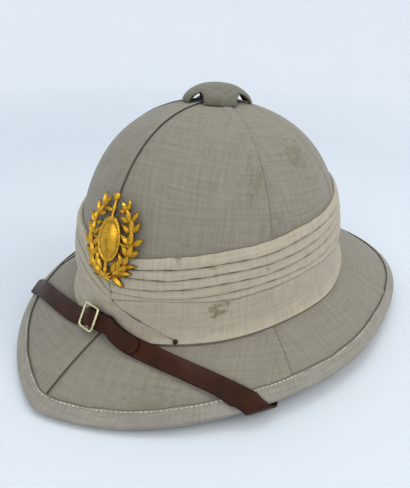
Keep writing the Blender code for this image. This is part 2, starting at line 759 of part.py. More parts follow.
def make_strap(finish):
    """The whole chin strap from anchor to anchor, over the front of the brim and under its sides."""
    x = strap_stations()
    middle, along, across, normal = strap_frames(x)
    _, _, _, _, _, line = edge_crossing()
    lines = np.where(x[:, None] > 0, line, line * (-1, 1, 1))
    across = skewed(across, along, lines, x.max() - np.abs(x))
    left, right = strap_side(1), strap_side(-1)
    points = np.concatenate([right[0][::-1], middle[1:-1], left[0]])
    sides = np.concatenate([right[1][::-1], across[1:-1], left[1]])
    outs = np.concatenate([right[2][::-1], normal[1:-1], left[2]])
    return band("chin_strap", points, sides, outs, STRAP_THICKNESS, finish)


def buckle_frame():
    """Middle, along, across and outward of the strap under the buckle."""
    stations = strap_stations()
    middle, along, across, _ = (between(BUCKLE_OUT, stations, part) for part in strap_frames(stations))
    across = across / np.linalg.norm(across)
    along = along - across * np.dot(along, across)
    along = along / np.linalg.norm(along)
    normal = np.cross(along, across)
    return middle + normal * BUCKLE_LIFT, along, across, normal


def between(x, stations, values):
    """Values of the strap's stations at these places, in straight lines from one station to the next."""
    return np.stack([np.interp(x, stations, column) for column in values.T], -1)


def make_tail(finish):
    """The strap's free end: through the buckle, over its bar and along the top of the strap."""
    stations = strap_stations()
    start, end = BUCKLE_OUT - BUCKLE_ALONG * 0.46, BUCKLE_OUT + TAIL_LENGTH
    beyond = stations[(stations > BUCKLE_OUT + TAIL_HUMP) & (stations < end - TAIL_HUMP / 2)]
    over_bar = np.linspace(BUCKLE_OUT - TAIL_HUMP, BUCKLE_OUT + TAIL_HUMP, 7)
    x = np.concatenate([[start], over_bar, beyond, [end]])
    middle, _, across, normal = (between(x, stations, part) for part in strap_frames(stations))
    hump = (BUCKLE_BAR + GAP) * np.exp(-(((x - BUCKLE_OUT) / 0.0032) ** 4))
    lift = TAIL_START_LIFT * np.clip((BUCKLE_OUT + TAIL_HUMP - x) / TAIL_HUMP, 0, 1)
    middle = middle + normal * (STRAP_THICKNESS + GAP + hump + lift)[:, None]
    narrow = across * np.where(x == end, 0.62, 1.0)[:, None]
    return band("strap_tail", middle, narrow, normal, TAIL_THICKNESS, finish)


def make_buckle(finish):
    """A rectangular brass wire frame over the strap, with the bar that the tail passes over."""
    middle, along, across, normal = buckle_frame()
    angle = np.linspace(0, 2 * math.pi, BUCKLE_TURNS, endpoint=False)
    a = (BUCKLE_ALONG - BUCKLE_WIRE) / 2 * np.sign(np.cos(angle)) * np.abs(np.cos(angle)) ** 0.22
    b = (BUCKLE_ACROSS - BUCKLE_WIRE) / 2 * np.sign(np.sin(angle)) * np.abs(np.sin(angle)) ** 0.22
    high = STRAP_THICKNESS + GAP + TAIL_THICKNESS + GAP + BUCKLE_WIRE / 2 + BUCKLE_CLEAR
    path = np.stack([a, b, 0 * a + high], -1)
    ahead = np.roll(path, -1, 0) - np.roll(path, 1, 0)
    out = np.stack([ahead[:, 1], -ahead[:, 0], 0 * a], -1)
    out = out / np.linalg.norm(out, axis=-1)[:, None]
    rings = []
    for corner in np.radians(np.arange(0, 360, 60)):
        rings.append(path + (out * math.cos(corner) + np.array((0, 0, 1)) * math.sin(corner)) * BUCKLE_WIRE / 2)
    grid = np.array(rings)
    ring = add_node("strap_buckle", grid.reshape(-1, 3), ring_faces(*grid.shape[:2]), finish, 50)
    reach = BUCKLE_ACROSS / 2 - BUCKLE_WIRE / 2
    low = STRAP_THICKNESS + GAP
    bar = box("bar", (-0.0008, -reach, low), (0.0008, reach, low + BUCKLE_BAR - 0.0001), finish)
    posts = [
        box("post", (-0.0007, side * reach - 0.0006, low + 0.0002), (0.0007, side * reach + 0.0006, high), finish)
        for side in (-1, 1)
    ]
    joined = union(ring, [bar] + posts)
    frame = np.stack([along, across, normal])
    return place(joined, lambda points: middle + points @ frame)


def box(name, low, high, finish):
    """A box between two corners."""
    corners = [(x, y, z) for x in (low[0], high[0]) for y in (low[1], high[1]) for z in (low[2], high[2])]
    faces = [(0, 1, 3, 2), (4, 6, 7, 5), (0, 4, 5, 1), (2, 3, 7, 6), (0, 2, 6, 4), (1, 5, 7, 3)]
    return add_node(name, corners, faces, finish)


def union(body, others):
    """The body with the others joined into it as one closed solid."""
    for other in others:
        cut = body.modifiers.new("join", "BOOLEAN")
        cut.operation = "UNION"
        cut.object = other
        bpy.context.view_layer.update()
        graph = bpy.context.evaluated_depsgraph_get()
        joined = bpy.data.meshes.new_from_object(body.evaluated_get(graph))
        body.modifiers.clear()
        body.data = joined
        bpy.data.objects.remove(other, do_unlink=True)
    weld(body.data)
    return body


def weld(mesh):
    """Closes the hair-thin slivers that joining leaves."""
    shape = bmesh.new()
    shape.from_mesh(mesh)
    bmesh.ops.triangulate(shape, faces=shape.faces)
    bmesh.ops.remove_doubles(shape, verts=shape.verts, dist=WELD)
    bmesh.ops.dissolve_degenerate(shape, edges=shape.edges, dist=WELD)
    shape.to_mesh(mesh)
    shape.free()


def place(node, move):
    """Moves every vertex of a node's mesh by a function of its points."""
    points = np.empty(len(node.data.vertices) * 3)
    node.data.vertices.foreach_get("co", points)
    node.data.vertices.foreach_set("co", move(points.reshape(-1, 3)).ravel())
    node.data.update()
    return node


def make_anchor(sign, finish):
    """A plain round stud that holds the strap's end to the inside of the crown."""
    stations = strap_side(sign)
    centre, side, inward = (part[-2] for part in stations)
    centre = centre + inward * (STRAP_THICKNESS + GAP)
    up = np.cross(inward, side)
    angles = np.linspace(0, 2 * math.pi, 12, endpoint=False)
    flat = (np.outer(np.cos(angles), side) + np.outer(np.sin(angles), up)) * ANCHOR_RADIUS
    points = np.concatenate([centre + flat, centre + flat + inward * ANCHOR_THICKNESS])
    faces = [tuple(range(12)), tuple(range(23, 11, -1))]
    for here in range(12):
        there = (here + 1) % 12
        faces.append((here, here + 12, there + 12, there))
    name = "strap_anchor_left" if sign > 0 else "strap_anchor_right"
    return add_node(name, points, faces, finish)


def leaf(name, base, heading, finish, number):
    """A pointed leaf with a raised midrib, lying flat: base point and heading in the badge's plane."""
    ahead = np.array((math.cos(heading), math.sin(heading)))
    side = np.array((-ahead[1], ahead[0]))
    base = base - ahead * SPRAY_WIRE * (0.6 + 0.11 * (number % 3))
    depth = -0.0002 - 0.00004 * (number % 5)
    outline = ((0.0, 0.0), (0.45, 0.5), (1.0, 0.0), (0.45, -0.5))
    flat = [base + ahead * LEAF_LENGTH * far + side * LEAF_WIDTH * wide for far, wide in outline]
    points = [(*point, depth) for point in flat] + [(*point, LEAF_EDGE) for point in flat]
    points.append((*(base + ahead * LEAF_LENGTH * 0.5), LEAF_EDGE + LEAF_RELIEF))
    faces = [(3, 2, 1, 0)]
    faces += [(here, (here + 1) % 4, 4 + (here + 1) % 4, 4 + here) for here in range(4)]
    faces += [(4 + here, 4 + (here + 1) % 4, 8) for here in range(4)]
    return add_node(name, points, faces, finish)


def spray_point(share, side):
    """A point of one spray's stem and its heading; share 0 is the foot and 1 the tip."""
    angle = -math.pi / 2 + side * (math.radians(6) + (math.pi - SPRAY_OPENING) * share)
    wide = BADGE_WIDTH / 2 - LEAF_LENGTH * 0.42
    tall = BADGE_HEIGHT / 2 - LEAF_LENGTH * 0.30
    point = np.array((wide * math.cos(angle), tall * math.sin(angle)))
    heading = math.atan2(side * tall * math.cos(angle), -side * wide * math.sin(angle))
    return point, heading


def stem(name, side, finish):
    """The wire stem of one spray, four-sided, along the oval of the badge."""
    sections, corners = 9, 4
    points = []
    for step in range(sections):
        point, heading = spray_point(-0.04 + 1.0 * step / (sections - 1), side)
        out = np.array((-math.sin(heading), math.cos(heading)))
        for corner in range(corners):
            angle = 2 * math.pi * corner / corners + 0.3
            across = out * SPRAY_WIRE * math.cos(angle)
            points.append((*(point + across), 0.0006 + SPRAY_WIRE * math.sin(angle)))
    faces = [tuple(range(corners))[::-1], tuple(corners * (sections - 1) + corner for corner in range(corners))]
    for step in range(sections - 1):
        for corner in range(corners):
            near, after = corners * step, (corner + 1) % corners
            faces.append((near + corner, near + after, near + corners + after, near + corners + corner))
    return add_node(name, points, faces, finish)


def turned(name, profile, wide, tall, centre, finish, columns=16):
    """An oval boss: rings given as a share of its half sizes and a height, closed above and below."""
    angle = np.linspace(0, 2 * math.pi, columns, endpoint=False)
    points, faces = [], []
    for share, height in profile:
        for corner in angle:
            x, y = wide / 2 * share * math.cos(corner), tall / 2 * share * math.sin(corner)
            points.append((centre[0] + x, centre[1] + y, height))
    points.append((*centre, profile[0][1]))
    points.append((*centre, profile[-1][1] * 1.06))
    for here in range(columns):
        there = (here + 1) % columns
        faces.append((here, len(points) - 2, there))
        for ring in range(len(profile) - 1):
            low = ring * columns
            faces.append((low + here, low + there, low + columns + there, low + columns + here))
        last = (len(profile) - 1) * columns
        faces.append((last + here, last + there, len(points) - 1))
    return add_node(name, points, faces, finish)


def make_badge(finish):
    """A gilt badge, cast in one: two leafy sprays tied at the foot round a plain oval boss.

    It is modelled flat, then bent to the front of the crown, clear of the pleats, on two short posts.
    """
    body = turned(
        "badge",
        ((0.97, -0.0004), (1.0, BOSS_EDGE), (0.86, BOSS_EDGE * 1.4), (0.76, BOSS_EDGE),
         (0.60, BOSS_RELIEF * 0.85), (0.32, BOSS_RELIEF * 1.15)),
        BOSS_WIDTH, BOSS_HEIGHT, (0.0, 0.0), finish, 14,
    )
    pieces = []
    for side in (-1, 1):
        pieces.append(stem("stem", side, finish))
        for pair in range(LEAF_PAIRS):
            share = 0.10 + 0.80 * pair / (LEAF_PAIRS - 1)
            point, heading = spray_point(share, side)
            for spread in (-1, 1):
                number = 2 * pair + (spread > 0)
                pieces.append(leaf("leaf", point, heading + spread * LEAF_SPREAD, finish, number + 3 * side))
        point, heading = spray_point(0.95, side)
        pieces.append(leaf("leaf", point, heading, finish, 4))
    half = BOSS_HEIGHT / 2
    foot = -BADGE_HEIGHT / 2 + LEAF_LENGTH * 0.30
    pin = PIN_WIDTH / 2
    top = BADGE_HEIGHT / 2 - PEARL_RADIUS
    pieces.append(box("foot_pin", (-pin, foot - 0.0015, -0.0001), (pin, -half + 0.001, 0.0013), finish))
    pieces.append(box("top_pin", (-pin * 0.8, half - 0.001, -0.00015), (pin * 0.8, top, 0.0012), finish))
    pieces.append(box("tie", (-0.0038, foot - 0.0012, -0.0003), (0.0038, foot + 0.0014, 0.0021), finish))
    reach = BADGE_WIDTH / 2 - LEAF_LENGTH * 0.42
    pieces.append(box("cross_bar", (-reach, -pin * 0.8, 0.00005), (reach, pin * 0.7, 0.00085), finish))
    profile = ((0.6, 0.0002), (1.0, 0.0012), (0.75, 0.0024))
    pearl = 2 * PEARL_RADIUS
    pieces.append(turned("pearl", profile, pearl, pearl, (0.0, top), finish, 10))
    stand = WRAP_INNER + PLEAT_THICK + 2 * GAP
    for side in (-1, 1):
        post = ((1.0, GAP - stand), (1.0, 0.0007))
        size, place_at = 2 * POST_RADIUS, (side * POST_OUT, POST_UP)
        pieces.append(turned("post", post, size, size, place_at, finish, 8))
    joined = union(body, pieces)

    def bend(points):
        """Flat badge to the front of the crown: across it by distance, up it by height."""
        height = BADGE_MIDDLE + points[:, 1]
        run = run_of_height(np.zeros(len(points)), height)
        width = CROWN_SIDE * width_of_run(np.zeros(len(points)), run)
        share = np.clip(np.abs(points[:, 0]) / width, 0, 1) ** (CROWN_ROUND / 2)
        turn = np.sign(points[:, 0]) * np.arcsin(share)
        return layer(turn, run, stand + points[:, 2])

    return place(joined, bend)


def clear_scene():
    """Removes what the scene holds at the start."""
    for old in list(bpy.data.objects):
        bpy.data.objects.remove(old, do_unlink=True)


def main():
    clear_scene()
    pith = material("pressed_pith", (0.42, 0.33, 0.22), 0.9)
    drill = material("khaki_drill", (0.44, 0.40, 0.34), 0.9)
    tape = material("edge_tape", (0.36, 0.34, 0.27), 0.9)
    muslin = material("cream_muslin", (0.58, 0.52, 0.43), 0.9)
    zinc = material("zinc_collar", (0.35, 0.35, 0.34), 0.5, 1.0)
    gilt = material("gilt_brass", (0.80, 0.52, 0.12), 0.3, 1.0)
    brass = material("pale_brass", (0.75, 0.66, 0.40), 0.3, 1.0)
    hide = material("brown_leather", (0.09, 0.03, 0.012), 0.35)
    iron = material("dark_tack", (0.05, 0.045, 0.04), 0.4, 1.0)
    make_shell(pith)
    for number in range(len(SEAM_TURNS) - 1):
        make_gore(number, drill)
    make_binding(tape)
    make_under_wrap(muslin)
    make_outer_wrap(muslin)
    make_tack(iron)
    make_seat(zinc)
    make_cap(drill)
    make_badge(gilt)
    make_strap(hide)
    make_tail(hide)
    make_buckle(brass)
    for sign in (1, -1):
        make_anchor(sign, brass)


main()
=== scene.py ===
# %% [markdown]
# # A pith helmet, dressed for its portrait
#
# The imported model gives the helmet's solids. This lesson puts the cloth, the leather and the metal over
# them, one piece at a time. Each cell of words says what the piece is on a real helmet and how it could
# be made, and the code below it makes it.

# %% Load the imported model
import math

import bmesh
import bpy
import numpy as np
from mathutils import Matrix, Vector


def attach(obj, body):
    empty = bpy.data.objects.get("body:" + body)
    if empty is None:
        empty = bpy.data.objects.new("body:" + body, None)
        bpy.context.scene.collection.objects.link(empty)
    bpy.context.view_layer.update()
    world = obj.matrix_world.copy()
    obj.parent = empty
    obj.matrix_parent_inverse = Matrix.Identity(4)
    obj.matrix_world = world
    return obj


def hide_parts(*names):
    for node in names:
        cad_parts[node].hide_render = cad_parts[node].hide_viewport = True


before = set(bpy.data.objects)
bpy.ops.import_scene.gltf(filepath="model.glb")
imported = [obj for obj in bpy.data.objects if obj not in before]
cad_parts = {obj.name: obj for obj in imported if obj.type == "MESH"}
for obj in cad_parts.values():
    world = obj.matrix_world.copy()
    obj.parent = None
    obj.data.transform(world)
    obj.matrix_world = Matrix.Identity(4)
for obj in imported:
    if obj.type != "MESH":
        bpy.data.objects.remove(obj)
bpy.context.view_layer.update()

# %% [markdown]
# ## The skin that everything follows
#
# A pith helmet is a moulded shell with cloth stretched over it, so every layer of it follows one curved
# surface. The skin is written as a function of two numbers: the turn, an angle round the helmet from the
# front towards the wearer's left, and the run, 0 at the top of the crown, 1 at its foot and 2 at the edge
# of the brim. Sculpting could give the same shape, but a function lets each layer lie at its own exact
# distance outside the skin, and lets a pleat be placed by its height in millimetres.

# %% Sizes of the skin
# Crown, measured to the outer face of the cloth
CROWN_FRONT = 0.114
CROWN_BACK = 0.1105
CROWN_SIDE = 0.096
CROWN_ROUND = 1.9
CROWN_RISE = 0.123
CROWN_FULLNESS = 2.6
SHOULDER = 2.2
SHOULDER_SWING = 0.42
CROWN_LEAN = 0.0005
FOOT_HEIGHT = 0.043
FOOT_SLOPE = 0.10
FILLET_UP = 0.012
VENT_HOLE = 0.009

# Brim, measured to the outside of its binding
BRIM_FRONT = 0.1685
BRIM_POINT = 0.0055
POINT_SPREAD = 0.24
BRIM_BACK = 0.1995
BRIM_SIDE = 0.137
BRIM_FRONT_ROUND = 1.82
BRIM_BACK_ROUND = 2.18
BRIM_BULGE = 0.0025
EDGE_ARCH = 0.0093
ARCH_FRONT = 4.8
ARCH_BACK = 3.4
ARCH_FLAT = math.radians(14.1)

# Layers
GAP = 0.0003
SHELL_WALL = 0.005
SHELL_EDGE = 0.0026
CLOTH = 0.001
SEAM_RIDGE = 0.0007
SEAM_TURNS = tuple(math.radians(turn) for turn in (0, 62.5, 110, 180, 250, 297.5, 360))
BINDING = 0.001
BINDING_WIDTH = 0.0085

# Puggaree: heights are above the foot of the crown
WRAP_OUT = 0.007
UNDER_WRAP = 0.0008
PLEAT_THICK = 0.0019
APRON = 0.001
WRAP_END_TURN = math.radians(31)
TACK_RADIUS = 0.0016
TACK_RISE = 0.0012
TACK_UP = 0.0015

# Ventilator
CAP_WALL = 0.0018
CAP_FLARE = 0.0016

# Badge: heights are above the foot of the crown
BADGE_HEIGHT = 0.058
BADGE_WIDTH = 0.043
BADGE_MIDDLE = 0.0595
SPRAY_OPENING = math.radians(34)
BOSS_HEIGHT = 0.027
BOSS_WIDTH = 0.0165
PEARL_RADIUS = 0.0021

# Chin strap
STRAP_WIDTH = 0.0122
STRAP_THICKNESS = 0.0019
STRAP_LIFT = 0.0011
STRAP_EDGE_TURN = math.radians(51.8)
STRAP_REST = 0.36
STRAP_REST_LESS = 0.07
STRAP_OVER = 0.0006
STRAP_BEND_IN = 0.0020
STRAP_CLEAR = 0.0007
STRAP_UNDER = 0.0015
STRAP_DROP = 0.0010
STRAP_SKEW = 0.021
STRAP_WRAP_TURNS = (math.radians(24), math.radians(36))
STRAP_ANCHOR_TURN = math.radians(84)
TAIL_LENGTH = 0.040
TAIL_THICKNESS = 0.0014
BUCKLE_OUT = -0.0075
BUCKLE_ALONG = 0.0150
BUCKLE_ACROSS = 0.0172
BUCKLE_WIRE = 0.0016
BUCKLE_BAR = 0.0011
ANCHOR_UP = 0.012

BRIM_MIDDLE = (BRIM_BACK - BRIM_FRONT - BRIM_POINT) / 2
EDGE_OUT = GAP + BINDING
WRAP_INNER = GAP + UNDER_WRAP + 2 * GAP
UNDER_EDGE = CLOTH + GAP + SHELL_EDGE + GAP + BINDING
EDGE_RISE = UNDER_EDGE * 0.84
TINY = 1e-5


# %% Crown, fillet and brim
def superellipse(turn, front, back, side, power):
    """Plan ring: x and y of a superellipse whose front and back lengths differ."""
    sine, cosine = np.sin(turn), np.cos(turn)
    x = side * np.sign(sine) * np.abs(sine) ** (2 / power)
    length = np.where(cosine > 0, front, back)
    return x, -length * np.sign(cosine) * np.abs(cosine) ** (2 / power)


def crown(turn, run):
    """Crown skin from the top at run 0 to its foot at run 1."""
    angle = np.clip(run, 0, 1) * math.pi / 2
    shoulder = SHOULDER + SHOULDER_SWING * np.cos(turn)
    height = np.abs(np.cos(angle)) ** (2 / CROWN_FULLNESS)
    width = np.abs(np.sin(angle)) ** (2 / shoulder)
    x, y = superellipse(turn, CROWN_FRONT, CROWN_BACK, CROWN_SIDE, CROWN_ROUND)
    z = FOOT_HEIGHT + CROWN_RISE * height + FOOT_SLOPE * y * (1 - height)
    return np.stack([x * width, y * width - CROWN_LEAN * height, z], -1)


def run_of_height(turn, height):
    """The run at which the crown skin is this high above its foot."""
    _, foot = superellipse(turn, CROWN_FRONT, CROWN_BACK, CROWN_SIDE, CROWN_ROUND)
    share = np.clip(height / (CROWN_RISE - FOOT_SLOPE * foot), 0, 1)
    return np.arccos(share ** (CROWN_FULLNESS / 2)) * 2 / math.pi + 0 * turn


def run_of_width(turn, share):
    """The run at which the crown is this share of its width at the foot."""
    shoulder = SHOULDER + SHOULDER_SWING * np.cos(turn)
    return np.arcsin(np.clip(share, 0, 1) ** (shoulder / 2)) * 2 / math.pi


def foot_radius(turn):
    """Distance in plan from the middle of the crown to its foot."""
    return np.linalg.norm(crown(turn, 1 + 0 * turn)[..., :2], axis=-1)


def width_of_run(turn, run):
    """Share of the foot's width that the crown has at this run."""
    shoulder = SHOULDER + SHOULDER_SWING * np.cos(turn)
    return np.sin(run * math.pi / 2) ** (2 / shoulder)


def folded(turn):
    """The turn brought between -180 and 180 degrees."""
    return (turn + math.pi) % (2 * math.pi) - math.pi


def arch(turn):
    """Height of the brim's lower edge: level at front and back, raised at the sides."""
    away = np.abs(folded(turn))
    ahead = away < math.pi / 2
    away = np.where(ahead, away, math.pi - away)
    share = np.clip((away - ARCH_FLAT) / (math.pi / 2 - ARCH_FLAT), 0, 1)
    power = np.where(ahead, ARCH_FRONT, ARCH_BACK)
    return EDGE_ARCH * (1 - np.abs(np.cos(share * math.pi / 2)) ** power)


def brim_edge(turn):
    """Edge of the brim's cloth, inside the binding."""
    ahead = np.cos(turn) > 0
    point = BRIM_POINT * np.exp(-((np.abs(folded(turn)) / POINT_SPREAD) ** 1.5))
    sizes = (BRIM_FRONT - EDGE_OUT, BRIM_BACK - EDGE_OUT, BRIM_SIDE - EDGE_OUT)
    front = superellipse(turn, *sizes, BRIM_FRONT_ROUND)
    back = superellipse(turn, *sizes, BRIM_BACK_ROUND)
    x = np.where(ahead, front[0], back[0])
    y = np.where(ahead, front[1] - point, back[1])
    return np.stack([x, y, arch(turn) + EDGE_RISE], -1)


def brim_length(turn):
    """Slanting length of the brim at this turn."""
    return np.linalg.norm(brim_edge(turn) - crown(turn, 1 + 0 * turn), axis=-1)


def brim(turn, share):
    """Brim skin from the crown's foot at share 0 to its edge at share 1, a little bulged."""
    foot = crown(turn, 1 + 0 * turn)
    skin = foot + (brim_edge(turn) - foot) * share[..., None]
    skin[..., 2] += BRIM_BULGE * np.sin(math.pi * share)
    return skin


def skin_point(turn, run):
    """The reference skin: crown, a fillet on three control points, and brim."""
    turn, run = np.broadcast_arrays(np.asarray(turn, float), np.asarray(run, float))
    start = run_of_height(turn, FILLET_UP)
    end = 1 + WRAP_OUT / brim_length(turn)
    high = crown(turn, np.minimum(run, start))
    low = brim(turn, np.maximum(run, end) - 1)
    share = np.clip((run - start) / (end - start), 0, 1)[..., None]
    corner = crown(turn, 1 + 0 * turn)
    curve = (1 - share) ** 2 * high + 2 * share * (1 - share) * corner + share**2 * low
    above, below = (run <= start)[..., None], (run >= end)[..., None]
    return np.where(above, high, np.where(below, low, curve)) - (0, BRIM_MIDDLE, 0)


def skin_normal(turn, run):
    """Outward normal of the reference skin, from its slopes along turn and run."""
    run = np.maximum(run, 0.003)
    along = skin_point(turn + TINY, run) - skin_point(turn - TINY, run)
    down = skin_point(turn, run + TINY) - skin_point(turn, run - TINY)
    normal = np.cross(down, along)
    return normal / np.linalg.norm(normal, axis=-1)[..., None]


def wrap_foot_run(turn):
    """Run of the puggaree's lower edge, on the start of the brim."""
    return 1 + WRAP_OUT / brim_length(turn)


UNEVEN = (
    # height in metres, waves for each radian of turn, waves for each unit of run, where the wave starts
    (0.00018, 3, 2.4, 1.3),
    (0.00013, 5, -4.3, -0.6),
    (0.00008, 11, 7.0, 2.0),
)


def uneven(turn, run):
    """Hand-made unevenness in metres: slow sine waves that cross the helmet, at most 0.4 mm high in all."""
    waves = sum(high * np.sin(along * turn + down * run + start) for high, along, down, start in UNEVEN)
    return waves * np.clip((run - 0.1) / 0.3, 0, 1)


def layer(turn, run, offset):
    """Points at a distance outside the skin, along its normal, with the cloth's unevenness added."""
    turn, run, offset = np.broadcast_arrays(turn, run, offset)
    out = offset + uneven(turn, run)
    return skin_point(turn, run) + skin_normal(turn, run) * out[..., None]


print("crown top at", np.round(skin_point(0.0, 0.001) * 1000, 1), "mm")

# %% [markdown]
# ## From grids of points to meshes
#
# Each piece is a grid of points: rows run one way over the surface and columns the other. Blender's own
# add-mesh tools would need an edit for each fold, so the grid is computed as one array and handed over
# with foreach_set, which copies whole arrays at once. A thin cloth gets its thickness from Solidify.

# %% Mesh helpers
SHARP_EDGE = math.radians(50)
SAME_POINT = 1e-6


def quads(rows, columns, joined=False, ring=False):
    """Corners of a grid's faces. joined closes each row on itself, ring joins the last row to the first."""
    row = np.arange(rows if ring else rows - 1)[:, None]
    column = np.arange(columns if joined else columns - 1)[None, :]
    near, far = row * columns, (row + 1) % rows * columns
    beside = (column + 1) % columns
    return np.stack([near + column, far + column, far + beside, near + beside], -1).reshape(-1, 4)


def make_mesh(name, points, faces, finish, flat=None, marks=None):
    """A smooth-shaded object of these points and four-cornered faces.

    flat is the place of each point on the uncut cloth in metres, kept as the UV map. marks are numbers
    for each point that the materials read by name.
    """
    points = np.asarray(points, float).reshape(-1, 3)
    mesh = bpy.data.meshes.new(name)
    mesh.vertices.add(len(points))
    mesh.vertices.foreach_set("co", points.ravel())
    mesh.loops.add(faces.size)
    mesh.loops.foreach_set("vertex_index", faces.ravel().astype(np.int32))
    mesh.polygons.add(len(faces))
    mesh.polygons.foreach_set("loop_start", np.arange(0, faces.size, faces.shape[1], dtype=np.int32))
    mesh.update(calc_edges=True)
    if flat is not None:
        layer_of = mesh.uv_layers.new(name="cloth")
        layer_of.data.foreach_set("uv", np.asarray(flat, float).reshape(-1, 2)[faces.ravel()].ravel())
    for mark, values in (marks or {}).items():
        kept = mesh.attributes.new(mark, "FLOAT", "POINT")
        kept.data.foreach_set("value", np.asarray(values, np.float32).ravel())
    mesh.materials.append(finish)
    mesh.shade_smooth()
    mesh.set_sharp_from_angle(angle=SHARP_EDGE)
    made = bpy.data.objects.new(name, mesh)
    bpy.context.scene.collection.objects.link(made)
    return made


def grid_mesh(name, grid, finish, flat=None, marks=None, **closing):
    """A mesh of one grid of points. closing says how the grid is closed, as for quads."""
    return make_mesh(name, grid, quads(*grid.shape[:2], **closing), finish, flat, marks)


def weld(piece, outward=False):
    """Merges points that lie on each other, which closes a surface at its poles, and may turn it outwards."""
    shape = bmesh.new()
    shape.from_mesh(piece.data)
    bmesh.ops.remove_doubles(shape, verts=shape.verts, dist=SAME_POINT)
    if outward:
        bmesh.ops.recalc_face_normals(shape, faces=shape.faces)
    shape.to_mesh(piece.data)
    shape.free()
    return piece


def capped(grid):
    """Closes a grid at both ends with one more row, all of it at the middle of the row beside it."""
    first = grid[:1].mean(1, keepdims=True) + 0 * grid[:1]
    last = grid[-1:].mean(1, keepdims=True) + 0 * grid[-1:]
    return np.concatenate([first, grid, last])


def thicken(piece, thickness):
    """Gives a sheet its thickness, inwards from the face that was made."""
    wall = piece.modifiers.new("cloth thickness", "SOLIDIFY")
    wall.thickness = thickness
    wall.offset = -1.0
    return piece


def dress(piece, slot, *nodes):
    """Lets a piece ride on the helmet and stands it in for CAD nodes."""
    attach(piece, "root")
    if nodes:
        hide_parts(*nodes)
    print(piece.name, len(piece.data.vertices), "points")
    return piece


def length_along(points, axis):
    """Distance walked along one axis of a grid of points, starting at 0."""
    steps = np.linalg.norm(np.diff(points, axis=axis), axis=-1)
    start = np.zeros_like(np.take(steps, [0], axis=axis))
    return np.concatenate([start, np.cumsum(steps, axis=axis)], axis=axis)


# %% [markdown]
# ## Finishes: how a material is put together
#
# A material here is a small network of nodes. One helper adds a node, sets its own options, fills or
# links its inputs and gives back the output that is wanted. Another leads the colour, the roughness and
# the relief to the shader. Colours are written as sRGB hex, the way a colour picker shows them, and
# turned to linear light, which the renderer works in.

# %% Material helpers
def linear(code):
    """An sRGB hex colour as linear light: a 12.92th below 0.04045, the 2.4th power above it."""
    channels = np.array([int(code[start:start + 2], 16) for start in (0, 2, 4)]) / 255
    light = np.where(channels <= 0.04045, channels / 12.92, ((channels + 0.055) / 1.055) ** 2.4)
    return (*light.tolist(), 1.0)


def add(tree, kind, inputs=None, out=0, **settings):
    """Adds a shader node of this kind and gives one of its outputs. Inputs are values or sockets."""
    made = tree.nodes.new("ShaderNode" + kind)
    for key, value in settings.items():
        setattr(made, key, value)
    for key, value in (inputs or {}).items():
        if isinstance(value, bpy.types.NodeSocket):
            tree.links.new(value, made.inputs[key])
        else:
            made.inputs[key].default_value = value
    return made.outputs[out]


def start_finish(name, roughness, metallic=0.0, **settings):
    """A new material, its node tree and its Principled shader with uniform settings on their sockets."""
    made = bpy.data.materials.new(name)
    made.use_nodes = True
    shader = made.node_tree.nodes["Principled BSDF"]
    shader.inputs["Roughness"].default_value = roughness
    shader.inputs["Metallic"].default_value = metallic
    for key, value in settings.items():
        shader.inputs[key.replace("_", " ")].default_value = value
    return made, made.node_tree, shader


def surface(tree, shader, colour, gloss=None, height=None, strength=0.0, depth=0.0):
    """Leads a colour, a roughness and the bump of a height, depth metres deep, into the shader."""
    tree.links.new(colour, shader.inputs["Base Color"])
    if gloss is not None:
        tree.links.new(gloss, shader.inputs["Roughness"])
    if height is not None:
        relief = add(tree, "Bump", {"Strength": strength, "Distance": depth, "Height": height})
        tree.links.new(relief, shader.inputs["Normal"])


# %% [markdown]
# ## Woven cloth
#
# Three cloths cover this helmet: a close cotton drill on the crown and brim, a thin cream muslin wound as
# the puggaree, and a cotton tape over the edge. All are plain threads over and under each other, so one
# function draws them: two sets of soft waves along the cloth's own UV map make the threads, stretched
# noise makes single threads thicker or paler, and wide noise in object space makes the sun-bleached and
# handled patches. Real threads here are 0.3 to 0.5 mm apart, finer than a pixel of the portrait, so they
# are drawn about twice as coarse.

# %% A cloth finish
WAVE_LENGTH = 0.314159
CLOTH_FACE = 0.002


def place_of(turn, height=None, run=None):
    """A point of the helmet from a turn in degrees and a height in mm above the crown's foot, or a run."""
    angle = np.array(math.radians(turn))
    at = run_of_height(angle, height / 1000) if run is None else np.array(run)
    return layer(angle, at, CLOTH_FACE)


def blot(tree, place, spot, radius, ragged):
    """Share of a stain: 1 near its middle, 0 past its radius, its outline broken up by noise."""
    wander = add(tree, "TexNoise", {"Vector": place, "Scale": 260.0, "Detail": 4.0})
    spot = tuple(spot.tolist())
    far = add(tree, "VectorMath", {0: place, 1: spot}, "Value", operation="DISTANCE")
    share = add(tree, "Math", {0: far, 1: radius}, operation="DIVIDE")
    bent = add(tree, "MapRange", {0: wander, 1: 0.3, 2: 0.7, 3: -ragged, 4: ragged})
    shifted = add(tree, "Math", {0: share, 1: bent}, operation="ADD")
    return add(tree, "MapRange", {0: shifted, 1: 0.25, 2: 1.0, 3: 1.0, 4: 0.0})


